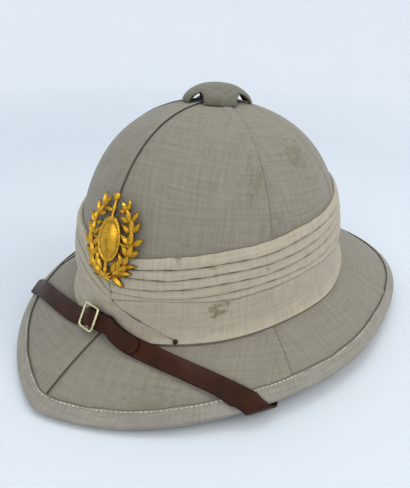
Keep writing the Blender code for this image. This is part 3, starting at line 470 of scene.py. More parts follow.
def woven(name, pale, deep, thread, soil, stains=(), bump=0.35, patch=0.35):
    """A plain-woven cloth. thread is the drawn distance between threads in metres, soil its handled colour.

    The height is the sum of two sets of sine waves across each other, broken by noise. Low places are
    deeper in colour. bump is the strength of the relief and patch the share of the widest soiled places.
    stains are (spot, radius in metres, colour, strength, raggedness).
    """
    sheen = {"Specular_IOR_Level": 0.25, "Sheen_Weight": 0.12, "Sheen_Roughness": 0.5}
    made, tree, shader = start_finish(name, 0.92, **sheen)
    cloth = add(tree, "UVMap", uv_map="cloth")
    place = add(tree, "TexCoord", out="Object")
    # A wave texture of scale 1 repeats every WAVE_LENGTH, so this scale draws one wave for each thread.
    waves = {"Vector": cloth, "Scale": WAVE_LENGTH / thread, "Distortion": 1.6}
    waves.update({"Detail": 2.0, "Detail Scale": 0.5})
    warp = add(tree, "TexWave", waves, "Fac", bands_direction="X")
    weft = add(tree, "TexWave", waves, "Fac", bands_direction="Y")
    close, long = 1 / (2.2 * thread), 1 / (26 * thread)
    warp_way = add(tree, "Mapping", {"Vector": cloth, "Scale": (close, long, 1.0)})
    weft_way = add(tree, "Mapping", {"Vector": cloth, "Scale": (long, close, 1.0)})
    warp_slub = add(tree, "TexNoise", {"Vector": warp_way, "Scale": 1.0, "Detail": 3.0})
    weft_slub = add(tree, "TexNoise", {"Vector": weft_way, "Scale": 1.0, "Detail": 3.0})
    threads = add(tree, "Math", {0: warp, 1: weft}, operation="ADD")
    slubs = add(tree, "Math", {0: warp_slub, 1: weft_slub}, operation="ADD")
    low = add(tree, "Math", {0: threads, 1: 0.22}, operation="MULTIPLY")
    height = add(tree, "Math", {0: slubs, 1: 0.6, 2: low}, operation="MULTIPLY_ADD")
    share = add(tree, "MapRange", {0: height, 1: 0.55, 2: 1.0})
    colour = add(tree, "Mix", {0: share, 6: linear(deep), 7: linear(pale)}, 2, data_type="RGBA")
    layers = (
        # scale of the noise, its detail, where the soil starts and where it is full, its share, its colour
        (17.0, 5.0, 0.45, 0.75, patch, soil),
        (140.0, 6.0, 0.56, 0.80, 0.22, soil),
        (900.0, 2.0, 0.66, 0.74, 0.30, "5f5a50"),
    )
    for scale, detail, start, full, most, code in layers:
        speckle = {"Vector": place, "Scale": scale, "Detail": detail, "Roughness": 0.6}
        share = add(tree, "MapRange", {0: add(tree, "TexNoise", speckle), 1: start, 2: full, 3: 0.0, 4: most})
        colour = add(tree, "Mix", {0: share, 6: colour, 7: linear(code)}, 2, data_type="RGBA")
    # Painted shade: a number on each point darkens the cloth toward a deep grey-brown at seam edges, under
    # pleat lips, along hems and under the cap, where shadow falls.
    painted_shade = add(tree, "Attribute", out="Fac", attribute_name="painted_shade")
    colour = add(tree, "Mix", {0: painted_shade, 6: colour, 7: linear("3f3a32")}, 2, data_type="RGBA")
    for spot, radius, code, strength, ragged in stains:
        shape = blot(tree, place, spot, radius, ragged)
        share = add(tree, "Math", {0: shape, 1: strength}, operation="MULTIPLY")
        stained = {0: share, 6: colour, 7: linear(code)}
        colour = add(tree, "Mix", stained, 2, data_type="RGBA", blend_type="MULTIPLY")
    surface(tree, shader, colour, height=height, strength=bump, depth=0.00025)
    return made


# %% Cloth, thread and paper finishes
# Cotton drill, sun-faded khaki grey: dull, close-grained, browner where hands and weather reached it.
DRILL_STAINS = (
    # where, radius in metres, colour it multiplies by, strength, raggedness
    (place_of(86, 95), 0.015, "c4b49e", 0.40, 0.7),
    (place_of(82.5, 87), 0.0026, "a08a70", 0.5, 0.5),
    (place_of(58.5, 91), 0.010, "c0b49c", 0.32, 0.8),
    (place_of(65.5, 63), 0.009, "bcb8a8", 0.30, 0.9),
    (place_of(32.5, 61), 0.0030, "b4b0a4", 0.35, 0.8),
    (place_of(29, run=1.81), 0.018, "cfcdc6", 0.35, 0.9),
)
drill = woven("cotton_drill", "8d877a", "757063", 0.0010, "868073", DRILL_STAINS)
# The cap's drill, a darker olive grey: it lies flat to the sky and has gathered the most dirt.
cap_drill = woven("cap_cotton_drill", "7e7b6c", "625f52", 0.0010, "545044", bump=0.4)
# Cream muslin: thinner, paler and warmer than the drill; its pleats' folds are darkened by painted shade.
MUSLIN_STAINS = (
    # the same columns
    (place_of(60, 39.3), 0.0014, "7d705c", 0.7, 0.5),
    (place_of(43, 18.4), 0.0062, "aa9c7c", 0.62, 0.8),
    (place_of(42, 14.5), 0.0028, "a2946e", 0.55, 0.6),
    (place_of(45, 22), 0.0045, "b8ac8c", 0.5, 0.8),
    (place_of(30, 54.4), 0.0034, "857c6c", 0.6, 0.7),
    (place_of(29, 48.5), 0.0010, "5e5446", 0.8, 0.4),
    (place_of(31, 30.5), 0.0008, "5e5446", 0.8, 0.3),
    (place_of(43, 43.3), 0.0036, "bcb096", 0.4, 0.9),
    (place_of(41, 48.0), 0.0030, "bcb096", 0.4, 0.9),
)
muslin = woven("cream_muslin", "b4aa97", "9a917f", 0.0009, "9a9182", MUSLIN_STAINS, bump=0.3, patch=0.3)
# Cotton tape, olive grey: rubbed along the edge where the helmet is set down.
tape = woven("olive_cotton_tape", "99958a", "7b776c", 0.0008, "6b675c", bump=0.45)


def linen_thread():
    """Linen thread, off-white and slightly waxed, so it stays paler than what it sews."""
    made, tree, shader = start_finish("linen_thread", 0.7, Specular_IOR_Level=0.3)
    place = add(tree, "TexCoord", out="Object")
    dust_and_shade = add(tree, "TexNoise", {"Vector": place, "Scale": 90.0, "Detail": 4.0})
    share = add(tree, "MapRange", {0: dust_and_shade, 1: 0.4, 2: 0.7})
    dusty = add(tree, "Mix", {0: share, 6: linear("cfc9ba"), 7: linear("8c8674")}, 2, data_type="RGBA")
    surface(tree, shader, dusty)
    return made


def graded_paper():
    """A matt paper sheet, faintly blue, with painted light: grey near the helmet, white far away."""
    made, tree, shader = start_finish("graded_paper", 0.85, Specular_IOR_Level=0.2)
    away = add(tree, "Attribute", out="Fac", attribute_name="away")
    graded = add(tree, "Mix", {0: away, 6: linear("d9dfe5"), 7: linear("fafcff")}, 2, data_type="RGBA")
    surface(tree, shader, graded)
    return made


thread, paper = linen_thread(), graded_paper()
print("cloths:", [finish.name for finish in (drill, cap_drill, muslin, tape)])

# %% [markdown]
# ## Pith, leather and metal
#
# The shell is pith or cork pressed and glued in layers, then painted inside: matt, with small lumps. The
# strap is vegetable-tanned leather, rubbed to a shine, nearly black along its cut edges and in its
# creases. The badge is gilded brass with darker hollows, the buckle a paler brass wire, the tack iron
# that has blackened, and the collar dull zinc. Metals here keep their colour in the reflection, so their
# roughness, broken up by noise, does most of the work.

# %% Hard finishes
GLOSS_SPREAD = 0.25


def metal(name, bright, tarnish, roughness, grain):
    """A bare metal: tarnish gathers in hollows and where wide noise is high, fine noise breaks up the gloss.

    grain is the width in metres of the fine noise's spots. The wide noise's are about three times that.
    """
    made, tree, shader = start_finish(name, roughness, 1.0)
    place = add(tree, "TexCoord", out="Object")
    wide = add(tree, "TexNoise", {"Vector": place, "Scale": 0.35 / grain, "Detail": 4.0})
    fine = add(tree, "TexNoise", {"Vector": place, "Scale": 1.0 / grain, "Detail": 3.0})
    share = add(tree, "MapRange", {0: wide, 1: 0.50, 2: 0.80, 3: 0.0, 4: 0.7})
    colour = add(tree, "Mix", {0: share, 6: linear(bright), 7: linear(tarnish)}, 2, data_type="RGBA")
    hollow = add(tree, "Attribute", out="Fac", attribute_name="hollow")
    colour = add(tree, "Mix", {0: hollow, 6: colour, 7: linear(tarnish)}, 2, data_type="RGBA")
    smooth, rough = roughness - GLOSS_SPREAD / 2, roughness + GLOSS_SPREAD
    gloss = add(tree, "MapRange", {0: fine, 1: 0.3, 2: 0.7, 3: smooth, 4: rough})
    surface(tree, shader, colour, gloss, height=fine, strength=0.15, depth=0.0002)
    return made


def bridle_leather():
    """Tanned hide: pores as small cells, long crease lines near both edges, edges and folds almost black."""
    wax = {"Specular_IOR_Level": 0.12, "Coat_Weight": 0.05, "Coat_Roughness": 0.15}
    made, tree, shader = start_finish("bridle_leather", 0.4, **wax)
    cloth = add(tree, "UVMap", uv_map="cloth")
    place = add(tree, "TexCoord", out="Object")
    across = add(tree, "SeparateXYZ", {0: cloth}, 1)
    side = add(tree, "Math", {0: across}, operation="ABSOLUTE")
    wide = add(tree, "TexNoise", {"Vector": place, "Scale": 55.0, "Detail": 5.0, "Roughness": 0.6})
    drawn = add(tree, "Mapping", {"Vector": cloth, "Scale": (60.0, 1300.0, 1.0)})
    streak = add(tree, "TexNoise", {"Vector": drawn, "Scale": 1.0, "Detail": 3.0})
    pores = add(tree, "TexVoronoi", {"Vector": place, "Scale": 1400.0})
    share = add(tree, "MapRange", {0: wide, 1: 0.35, 2: 0.7})
    colour = add(tree, "Mix", {0: share, 6: linear("3c1908"), 7: linear("260f03")}, 2, data_type="RGBA")
    layers = (
        # what is measured, where it starts and where it is full, its share, its colour
        (streak, 0.58, 0.78, 0.28, "5a2f1a"),
        (side, 0.0047, 0.0060, 0.85, "150a06"),
    )
    for measured, start, full, most, code in layers:
        share = add(tree, "MapRange", {0: measured, 1: start, 2: full, 3: 0.0, 4: most})
        colour = add(tree, "Mix", {0: share, 6: colour, 7: linear(code)}, 2, data_type="RGBA")
    gloss = add(tree, "MapRange", {0: wide, 1: 0.3, 2: 0.7, 3: 0.32, 4: 0.5})
    off_line = add(tree, "Math", {0: side, 1: 0.0043}, operation="SUBTRACT")
    off_line = add(tree, "Math", {0: off_line}, operation="ABSOLUTE")
    groove = add(tree, "MapRange", {0: off_line, 1: 0.0, 2: 0.0004})
    grain = add(tree, "Math", {0: pores, 1: streak}, operation="ADD")
    height = add(tree, "Math", {0: grain, 1: 0.25, 2: groove}, operation="MULTIPLY_ADD")
    surface(tree, shader, colour, gloss, height=height, strength=0.35, depth=0.0002)
    return made


def pressed_pith():
    """Pith pressed in a mould and sized: pale brown, matt, mottled at 3 mm and pitted at under 1 mm."""
    made, tree, shader = start_finish("pressed_pith", 0.9, Specular_IOR_Level=0.25)
    place = add(tree, "TexCoord", out="Object")
    lumps = add(tree, "TexNoise", {"Vector": place, "Scale": 160.0, "Detail": 6.0, "Roughness": 0.65})
    pits = add(tree, "TexVoronoi", {"Vector": place, "Scale": 700.0})
    share = add(tree, "MapRange", {0: lumps, 1: 0.35, 2: 0.68})
    colour = add(tree, "Mix", {0: share, 6: linear("a28c68"), 7: linear("6d5b40")}, 2, data_type="RGBA")
    height = add(tree, "Math", {0: pits, 1: 0.4, 2: lumps}, operation="MULTIPLY_ADD")
    surface(tree, shader, colour, height=height, strength=0.4, depth=0.0006)
    return made


pith = pressed_pith()
leather = bridle_leather()
gilt = metal("gilded_cast_brass", "cf9f34", "4c3208", 0.25, 0.0012)
brass = metal("drawn_brass_wire", "e6dcae", "8f8356", 0.22, 0.0016)
iron = metal("blackened_iron", "35322e", "191715", 0.4, 0.0010)
zinc = metal("dull_zinc", "8f908e", "5e5f5d", 0.5, 0.0020)
print("hard finishes:", [finish.name for finish in (pith, leather, gilt, brass, iron, zinc)])

# %% Shell
# Shares of the way from the hole to the edge at which the crown's dome, its side and the fillet end
DOME_SHARE, SIDE_SHARE, FILLET_SHARE = 0.45, 0.55, 0.68
DOME_FOOT = 0.050
SHELL_ROWS, SHELL_TURNS = 120, 240


def pace(turn, run):
    """Metres walked on the skin for each radian of turn."""
    step = skin_point(turn + TINY, run) - skin_point(turn - TINY, run)
    return np.linalg.norm(step, axis=-1) / (2 * TINY)


def run_at(turn, share):
    """The run at a share of the way from the ventilator's hole, 0, to the brim's edge, 1.

    Down the crown the rows are even in the angle whose sine is the crown's width, then even in run.
    """
    turn, share = np.broadcast_arrays(turn, share)
    top = run_of_height(turn, DOME_FOOT)
    low = np.arcsin(VENT_HOLE / foot_radius(turn))
    high = np.arcsin(width_of_run(turn, top))
    down = run_of_width(turn, np.sin(low + (high - low) * np.clip(share / DOME_SHARE, 0, 1)))
    foot = run_of_height(turn, FILLET_UP)
    end = wrap_foot_run(turn)
    side = top + (foot - top) * (share - DOME_SHARE) / (SIDE_SHARE - DOME_SHARE)
    corner = foot + (end - foot) * (share - SIDE_SHARE) / (FILLET_SHARE - SIDE_SHARE)
    out = end + (2 - end) * (share - FILLET_SHARE) / (1 - FILLET_SHARE)
    ends = [share <= DOME_SHARE, share <= SIDE_SHARE, share <= FILLET_SHARE]
    return np.select(ends, [down, side, corner], out)


def make_shell():
    """The moulded shell: a wall under the cloth, thinner towards the edge, closed round its rims."""
    turn = np.linspace(0, 2 * math.pi, SHELL_TURNS, endpoint=False)[None, :]
    share = np.linspace(0, 1, SHELL_ROWS)[:, None]
    run = run_at(turn, share)
    wall = SHELL_WALL + (SHELL_EDGE - SHELL_WALL) * np.clip(run - 1, 0, 1)
    outer = layer(turn, run, -CLOTH - GAP)
    inner = layer(turn, run, -CLOTH - GAP - wall)
    grid = np.concatenate([outer, inner[::-1]])
    return grid_mesh("moulded_shell", grid, pith, joined=True, ring=True)


shell = dress(make_shell(), "pressed_pith", "shell")

# %% [markdown]
# ## Six gores of drill
#
# The cloth is cut as six gores, stretched wet over the shell from the ventilator to the edge of the brim.
# Where two meet, one lies over the other as a narrow raised lap with a line of stitches, and its edge
# throws a thin dark line. A texture could draw that line, but a real step also catches the light, so each
# gore is a sheet of its own: its far side climbs over a short ramp, and its near side dips under the lap
# before it. Painted shade also darkens the line on both sides of the lap's edge. The UV map holds each
# point's place on the uncut cloth, so the weave bends as cloth does.

# %% Gores
# Widths along the skin, in metres: the lap, the ramp up to it, and what is tucked under the lap before
LAP = 0.0062
LAP_RAMP = 0.0026
LAP_LEAST = 0.22
TUCK = 0.0018
TUCK_SLOPE, TUCK_DEPTH = 0.0045, 0.00045
SEAM_IN, SEAM_WIDTH, SEAM_DEPTH = 0.0008, 0.00045, 0.00008
FOLD_WIDTH, FOLD_DEPTH = 0.0003, 0.00035
DRILL_SHEET = 0.0009
GORE_ROWS, PLAIN_COLUMNS, LAP_COLUMNS = 130, 56, 34


def soft_step(value, low, high):
    """0 below low, 1 above high, and a smooth S between: 3 s squared less 2 s cubed."""
    share = np.clip((value - low) / (high - low), 0, 1)
    return share**2 * (3 - 2 * share)


def bell(value, middle, width):
    """A bump of height 1: e to the minus square of the distance from the middle over the width."""
    return np.exp(-(((value - middle) / width) ** 2))


def make_gore(number):
    """One gore as a grid: rows down from the ventilator, columns from its tucked side to its lapped side."""
    start, end = SEAM_TURNS[number], SEAM_TURNS[number + 1]
    share = np.linspace(0, 1, GORE_ROWS)[:, None]
    near, far = pace(start, run_at(start, share)), pace(end, run_at(end, share))
    lap = LAP + LAP_RAMP
    squeeze = np.minimum(1, LAP_LEAST * (end - start) * far / lap)
    back = lap * squeeze / far
    tucked = start - np.array((1.0, 0.66, 0.33)) * TUCK * squeeze / near
    plain = start + (end - start - back) * np.linspace(0, 1, PLAIN_COLUMNS) ** 1.15
    lapped = end - back * (1 - np.linspace(0, 1, LAP_COLUMNS)[1:])
    turn = np.concatenate([tucked, plain, lapped], axis=1)
    run = run_at(turn, share)
    before = (end - turn) * far / squeeze
    after = (turn - start) * near / squeeze
    rise = SEAM_RIDGE * (1 - soft_step(before, LAP, lap))
    rise -= SEAM_DEPTH * bell(before, LAP - SEAM_IN, SEAM_WIDTH)
    rise -= FOLD_DEPTH * bell(before, 0.0, FOLD_WIDTH)
    rise -= TUCK_DEPTH * (1 - soft_step(after, 0.0, TUCK_SLOPE))
    points = layer(turn, run, rise)
    middle = (start + end) / 2
    across = (turn - middle) * pace(middle + 0 * share, run_at(middle, share))
    flat = np.stack([across, length_along(points, 0)], -1)
    # Painted shadow: thin dark lines along the lap's folded edge, and on the tucked side beside the lap
    # before it.
    seam = 0.75 * bell(before, 0.0, FOLD_WIDTH) + 0.85 * bell(np.maximum(after, 0), 0.0, 0.00055)
    marks = {"painted_shade": np.clip(seam, 0, 1)}
    sheet = grid_mesh(f"drill_gore_{number + 1}", points, drill, flat, marks)
    return thicken(sheet, DRILL_SHEET)


gores = [dress(make_gore(number), "khaki_drill", f"gore_{number + 1}") for number in range(6)]

# %% [markdown]
# ## The bound edge
#
# A strip of cotton tape is folded over the edge of the brim and sewn through with a machine. Its top
# shows as a band about 8 mm wide with a thin dark line where it stops, painted in as shade, and a row of
# pale stitches runs just outside that line. The tape is one closed profile carried round the edge. The
# stitches could be a bump pattern, but they stand proud and cast shadows, so each is a small rounded rod.

# %% Binding
STITCH_IN = 0.0072
STITCH_PITCH = 0.0029
STITCH_RADIUS = 0.00036
STITCH_HALF = 0.00105
TAPE_PUFF = 0.0003


def make_binding():
    """A closed profile of distances in from the edge and out from the skin, carried round the brim."""
    turn = np.linspace(0, 2 * math.pi, 720, endpoint=False)[None, :]
    length = brim_length(turn)
    under = CLOTH + GAP + SHELL_EDGE + GAP
    over = GAP + BINDING
    face = np.linspace(BINDING_WIDTH - 0.0002, 0.0003, 26)
    inset = np.concatenate([[BINDING_WIDTH, BINDING_WIDTH + 0.0001], face])
    swelling = np.sin(math.pi * np.clip(inset / BINDING_WIDTH, 0, 1)) ** 0.6
    puff = over + TAPE_PUFF * swelling - TAPE_PUFF * bell(inset, STITCH_IN, 0.0005)
    puff[:2] = 0.0002, 0.0007
    arc = np.linspace(0, math.pi, 20)
    deep = (over + under + BINDING) / 2
    inset = np.concatenate([inset, -EDGE_OUT * np.sin(arc), [BINDING_WIDTH, BINDING_WIDTH, -GAP, -GAP]])
    offset = np.concatenate([puff, over - deep + deep * np.cos(arc), [-under - BINDING, -under, -under, GAP]])
    inset, offset = inset[:, None], offset[:, None] + 0 * turn
    slope = (SHELL_WALL - SHELL_EDGE) * np.maximum(inset, 0) / length * (offset < -under / 2)
    wobble = 0.0002 * np.sin(23 * turn) + 0.00015 * np.sin(41 * turn + 1)
    run = 2 - (inset + wobble * (inset > 0.004)) / length
    points = layer(turn, run, offset - slope)
    points[..., 2] = np.maximum(points[..., 2], arch(turn) + 0 * points[..., 2])
    around = length_along(layer(turn, 2 + 0 * turn, 0.0), 1)
    flat = np.stack([around + 0 * inset, inset + 0 * turn], -1)
    # Painted shade: a thin dark line on the tape's top where it stops.
    marks = {"painted_shade": 0.9 * bell(inset, BINDING_WIDTH, 0.0005) * (offset > 0) + 0 * turn}
    return grid_mesh("edge_tape", points, tape, flat, marks, joined=True, ring=True)


def make_stitches():
    """Rounded rods, a little shorter than their pitch, laid along the tape's seam at even distances."""
    fine = np.linspace(0, 2 * math.pi, 4000)
    inset = STITCH_IN / brim_length(fine)
    offset = GAP + BINDING + 0.0002
    way = length_along(layer(fine, 2 - inset, offset), 0)
    count = int(way[-1] / STITCH_PITCH)
    turn = np.interp((np.arange(count) + 0.5) * way[-1] / count, way, fine)
    run = 2 - STITCH_IN / brim_length(turn)
    centre = layer(turn, run, offset)
    ahead = layer(turn + 1e-4, 2 - STITCH_IN / brim_length(turn + 1e-4), offset) - centre
    ahead = ahead / np.linalg.norm(ahead, axis=-1)[:, None]
    normal = skin_normal(turn, run)
    side = np.cross(normal, ahead)
    places = np.array((-1.0, -0.86, -0.5, 0.5, 0.86, 1.0))
    sizes = np.array((0.0, 0.6, 1.0, 1.0, 0.6, 0.0)) * STITCH_RADIUS
    angle = np.linspace(0, 2 * math.pi, 6, endpoint=False)
    along = places[:, None] * STITCH_HALF + 0 * angle
    out, wide = sizes[:, None] * np.sin(angle), sizes[:, None] * np.cos(angle)
    rods = centre[:, None, None] + along[..., None] * ahead[:, None, None]
    rods = rods + wide[..., None] * side[:, None, None] + out[..., None] * normal[:, None, None]
    one = quads(len(places), len(angle), joined=True)
    faces = (one[None] + len(places) * len(angle) * np.arange(count)[:, None, None]).reshape(-1, 4)
    return weld(make_mesh("tape_stitches", rods, faces, thread))


binding = dress(make_binding(), "edge_tape", "brim_binding")
stitches = dress(make_stitches(), "edge_tape")

# %% [markdown]
# ## The puggaree: apron and pleats
#
# A puggaree is some metres of thin muslin, folded lengthwise and wound round the foot of the crown. Its
# turns show as five narrow pleats above a plain apron that runs down onto the brim. At the front the last
# turn comes down across the first on a slant and is held by a tack. Each pleat overhangs the one below by
# a millimetre, and that small lip throws the dark lines; painted shade under each lip darkens them more.
# So the band is a profile with five lips, carried round the crown along lines whose heights were read off
# the real band, and the slanting end is a second sheet over it.

# %% Apron
APRON_TOP = 0.034
APRON_RISE = 0.0021
APRON_SHEET = 0.0004
APRON_ROWS, APRON_TURNS = 40, 420
APRON_HEM = (
    # share of the way down, metres past the foot, metres out from the skin
    (1.0, 0.00035, 0.0011),
    (1.0, 0.00035, 0.0006),
    (0.99, 0.0, 0.0004),
)


def make_apron():
    """The plain turns under the pleats: down the side, round the fillet and onto the brim, with a hem."""
    turn = np.linspace(0, 2 * math.pi, APRON_TURNS, endpoint=False)[None, :]
    top = run_of_height(turn, APRON_TOP)
    wobble = 0.0004 * np.sin(4 * turn + 0.5) + 0.0003 * np.sin(9 * turn)
    foot = wrap_foot_run(turn) + wobble / brim_length(turn)
    down, past, out = np.array(APRON_HEM).T
    share = np.concatenate([np.linspace(0, 1, APRON_ROWS), down])[:, None]
    past = np.concatenate([np.zeros(APRON_ROWS), past])[:, None] / brim_length(turn)
    rise = np.concatenate([np.full(APRON_ROWS - 1, APRON_RISE), [APRON_RISE - 0.0001], out])[:, None]
    run = top + (foot - top) * share + past
    slack = 0.00012 * np.sin(7 * turn + 9 * share) * soft_step(share, 0.3, 0.8)
    points = layer(turn, run, rise + slack * (share < 0.97))
    flat = np.stack([(turn + 0 * share) * 0.1, length_along(points, 0)], -1)
    # Painted shade: a dark line along the hem, where the apron meets the brim.
    marks = {"painted_shade": soft_step(share, 0.985, 1.0) * 0.7 + 0 * turn}
    sheet = grid_mesh("puggaree_apron", points, muslin, flat, marks, joined=True)
    return thicken(sheet, APRON_SHEET)


apron = dress(make_apron(), "cream_muslin", "puggaree_under_wrap")

# %% Pleat lines and their profile
ROUND = (
    # turn in degrees, then the heights in mm above the crown's foot of the top edge and five lines
    (-30, 45.0, 39.0, 33.5, 28.0, 23.0, 18.0),
    (-12, 47.5, 41.5, 36.0, 31.0, 25.5, 20.0),
    (4, 50.0, 44.2, 38.9, 33.9, 28.2, 21.8),
    (14, 52.0, 45.9, 40.8, 33.1, 28.5, 25.3),
    (21, 53.4, 47.2, 40.7, 34.0, 28.6, 26.7),
    (28, 54.6, 47.8, 40.7, 34.8, 28.8, 26.8),
    (35, 54.7, 48.2, 42.0, 35.5, 29.2, 26.2),
    (46, 55.8, 49.2, 43.0, 36.7, 30.1, 24.7),
    (60, 55.6, 48.6, 42.4, 36.2, 31.0, 25.9),
    (74, 57.0, 50.3, 43.2, 37.1, 30.6, 26.1),
    (84, 56.4, 50.7, 43.9, 38.0, 30.1, 25.7),
    (100, 56.3, 51.2, 45.7, 40.0, 31.0, 23.5),
    (125, 56.0, 50.6, 44.8, 38.8, 31.8, 25.0),
    (180, 55.0, 49.4, 43.6, 37.6, 31.4, 25.4),
    (230, 56.0, 50.5, 44.4, 38.0, 32.0, 26.0),
    (285, 56.0, 50.3, 44.5, 38.3, 32.2, 25.8),
    (300, 56.2, 50.4, 44.6, 38.4, 32.3, 25.8),
)
SLANT = (
    # the same lines where the last turn comes down to its tack
    (-90, 56.0, 50.3, 44.5, 38.3, 32.2, 25.8),
    (-75, 56.0, 50.3, 44.5, 38.3, 32.2, 25.8),
    (-50, 56.8, 51.4, 46.0, 39.6, 33.2, 26.4),
    (-35, 57.2, 52.0, 47.6, 40.4, 33.8, 26.6),
    (-25, 57.0, 52.2, 48.0, 39.8, 33.0, 25.9),
    (-16, 54.8, 49.8, 45.4, 36.2, 29.6, 24.3),
    (-6.5, 48.2, 42.9, 37.8, 31.2, 24.6, 22.7),
    (0, 43.0, 37.6, 32.4, 25.8, 21.7, 20.3),
    (4, 40.0, 34.0, 27.9, 21.5, 19.6, 18.2),
    (8, 37.0, 30.0, 23.5, 18.2, 17.2, 15.8),
    (13.5, 33.0, 25.0, 19.0, 14.2, 13.3, 11.9),
    (19.5, 28.0, 20.0, 14.0, 9.8, 9.0, 7.6),
    (25.5, 23.0, 15.0, 9.0, 5.4, 4.6, 3.3),
    (31, 18.0, 10.0, 4.0, 2.2, 1.6, 0.4),
)
TIPS = (1.5, 2.8, 4.0, 4.6, 17.0, 30.2)
HEM = (
    # share of the strip, millimetres below its place, millimetres out, share of the band's standing out
    (0.0, 0.30, 0.0, 0.08), (0.0, 0.02, 0.0, 0.30), (0.0, -0.10, 0.0, 0.60), (0.0, -0.06, 0.05, 0.85),
)
STRIP = (
    # share of the strip, millimetres below its place, millimetres outside the band's inner face
    (0.00, 0.10, 0.10), (0.06, 0.0, 0.30), (0.18, 0.0, 0.55), (0.34, 0.0, 0.78), (0.52, 0.0, 0.98),
    (0.70, 0.0, 1.14), (0.84, 0.0, 1.22), (0.93, 0.0, 1.22), (0.975, 0.0, 1.14), (1.0, 0.02, 0.98),
    (1.0, 0.12, 0.74), (1.0, 0.06, 0.48), (1.0, -0.25, 0.22),
)


LINE_SOFTNESS = math.radians(2.5)
PLEAT_SHEET = 0.0003


def line_heights(table, turn):
    """Heights of the six lines at these turns: straight between the table's rows, then averaged nearby."""
    rows = np.array(table)
    wide = np.linspace(-2, 2, 9)
    weight = np.exp(-(wide**2))
    at = [np.interp(np.degrees(turn + LINE_SOFTNESS * shift), rows[:, 0], rows[:, 1:].T[line])
          for line in range(6) for shift in wide]
    at = np.array(at).reshape(6, len(wide), *turn.shape)
    return np.tensordot(weight / weight.sum(), at, axes=(0, 1)) / 1000


def run_on_skin(turn, height):
    """The run at which the skin, its fillet included, is this high above the crown's foot.

    Above the fillet that is the crown's own formula. On the fillet, whose curve is a parabola, the height
    falls as the square of what is left of it, so the share gone is 1 less the root of the height's share.
    """
    start, end = run_of_height(turn, FILLET_UP), wrap_foot_run(turn)
    gone = 1 - np.sqrt(np.clip(height / FILLET_UP, 0, 1))
    return np.where(height < FILLET_UP, start + (end - start) * gone, run_of_height(turn, height))


def pleated(table, turn_of_row, lift, crease, name):
    """A band of five overhanging pleats between its six lines.

    turn_of_row gives the turns of a row from its place across the band, 0 at the top edge and 5 at the
    lowest line. lift is how far the band's inner face stands out from the skin, and crease the share of a
    pleat that the painted shadow under the pleat above it covers.
    """
    hem, strip = np.array(HEM), np.array(STRIP)
    upper = np.concatenate([np.zeros(len(hem), int), np.repeat(np.arange(5), len(strip))])
    inside, shift, out = np.concatenate([hem[:, :3]] + [strip] * 5).T
    place, inside = upper + inside, inside[:, None]
    shift, out = shift / 1000, out / 1000
    standing = np.concatenate([hem[:, 3], np.ones(5 * len(strip))])[:, None]
    turn = turn_of_row(place[:, None])
    lines = line_heights(table, turn)
    rows = np.arange(len(place))
    height = lines[upper, rows] * (1 - inside) + lines[upper + 1, rows] * inside - shift[:, None]
    waver = 0.00012 * np.sin(31 * turn + 2.1 * upper[:, None])
    waver = waver + 0.0001 * np.sin(57 * turn + 3.3 * upper[:, None])
    thin = np.clip((lines[upper, rows] - lines[upper + 1, rows]) / 0.005, 0.5, 1)
    slack = 0.00012 * np.sin(17 * turn + 1.9 * upper[:, None]) * np.sin(math.pi * inside)
    run = run_on_skin(turn, height + waver)
    points = layer(turn, run, (lift(turn, place[:, None]) + (out[:, None] + slack) * thin) * standing)
    flat = np.stack([turn * 0.1, -height + 0 * turn], -1)
    # Painted shade: rows tucked under a lip, the top of each strip just below the lip above it, and the foot
    # of the lowest pleat are darkened as shadow.
    under = ((out < 0.0005) & (inside[:, 0] > 0.9))[:, None]
    dust_and_shade = 0.95 * bell(inside, 0.0, crease) * (place > 0.5)[:, None]
    last = bell(inside, 1.0, 0.10) * np.where(place > 4, 0.9, 0.0)[:, None]
    fold = np.clip(1.0 * under + dust_and_shade + last, 0, 1)
    marks = {"painted_shade": fold + 0 * turn}
    sheet = grid_mesh(name, points, muslin, flat, marks)
    return thicken(sheet, PLEAT_SHEET)


BAND_LIFT = 0.0019


def round_lift(turn, place):
    """The first turns lie flat on the band below, and sink where the last turn will cross them."""
    return BAND_LIFT - 0.0010 * (1 - soft_step(turn, math.radians(-4), math.radians(8))) + 0 * place


def slant_lift(turn, place):
    """The last turn climbs over the first towards the front and settles again at its folded end."""
    climb = 0.0008 * soft_step(turn, math.radians(-60), math.radians(-25))
    settle = 0.0006 * soft_step(turn, math.radians(-6), math.radians(4)) * (1 - soft_step(place, 3.0, 4.0))
    return BAND_LIFT + climb - settle


def round_turns(place):
    """Columns of the first turns: even from under the crossing, round the back, to the far side."""
    return np.radians(np.linspace(-26, 285, 420))[None, :] + 0 * place


def slant_turns(place):
    """Columns of the last turn: each line runs on to its own tip."""
    tip = np.interp(place, np.arange(6), TIPS)
    share = np.linspace(0, 1, 170)[None, :]
    return np.radians(-75 + (tip + 75) * share)


first_turns = pleated(ROUND, round_turns, round_lift, 0.13, "puggaree_pleats")
last_turn = pleated(SLANT, slant_turns, slant_lift, 0.24, "puggaree_crossing")
pleats = dress(first_turns, "cream_muslin", "puggaree_outer_wrap")
crossing = dress(last_turn, "cream_muslin", "puggaree_outer_wrap")

# %% [markdown]
# ## Tack, cap and collar
#
# The slanting end is held by one dark round-headed tack. Over the hole in the crown stands the
# ventilator: a small cloth-covered dome whose edge is lifted into four arches, so that air leaves
# between four lobes. The dome is a formula in the same turn and share as the skin under it, so the lobes
# meet the crown all round. The metal collar under it is the solid from the model, with a zinc finish.

# %% Tack
TACK_LIFT = 0.0024
TURNED_SIDES = 28


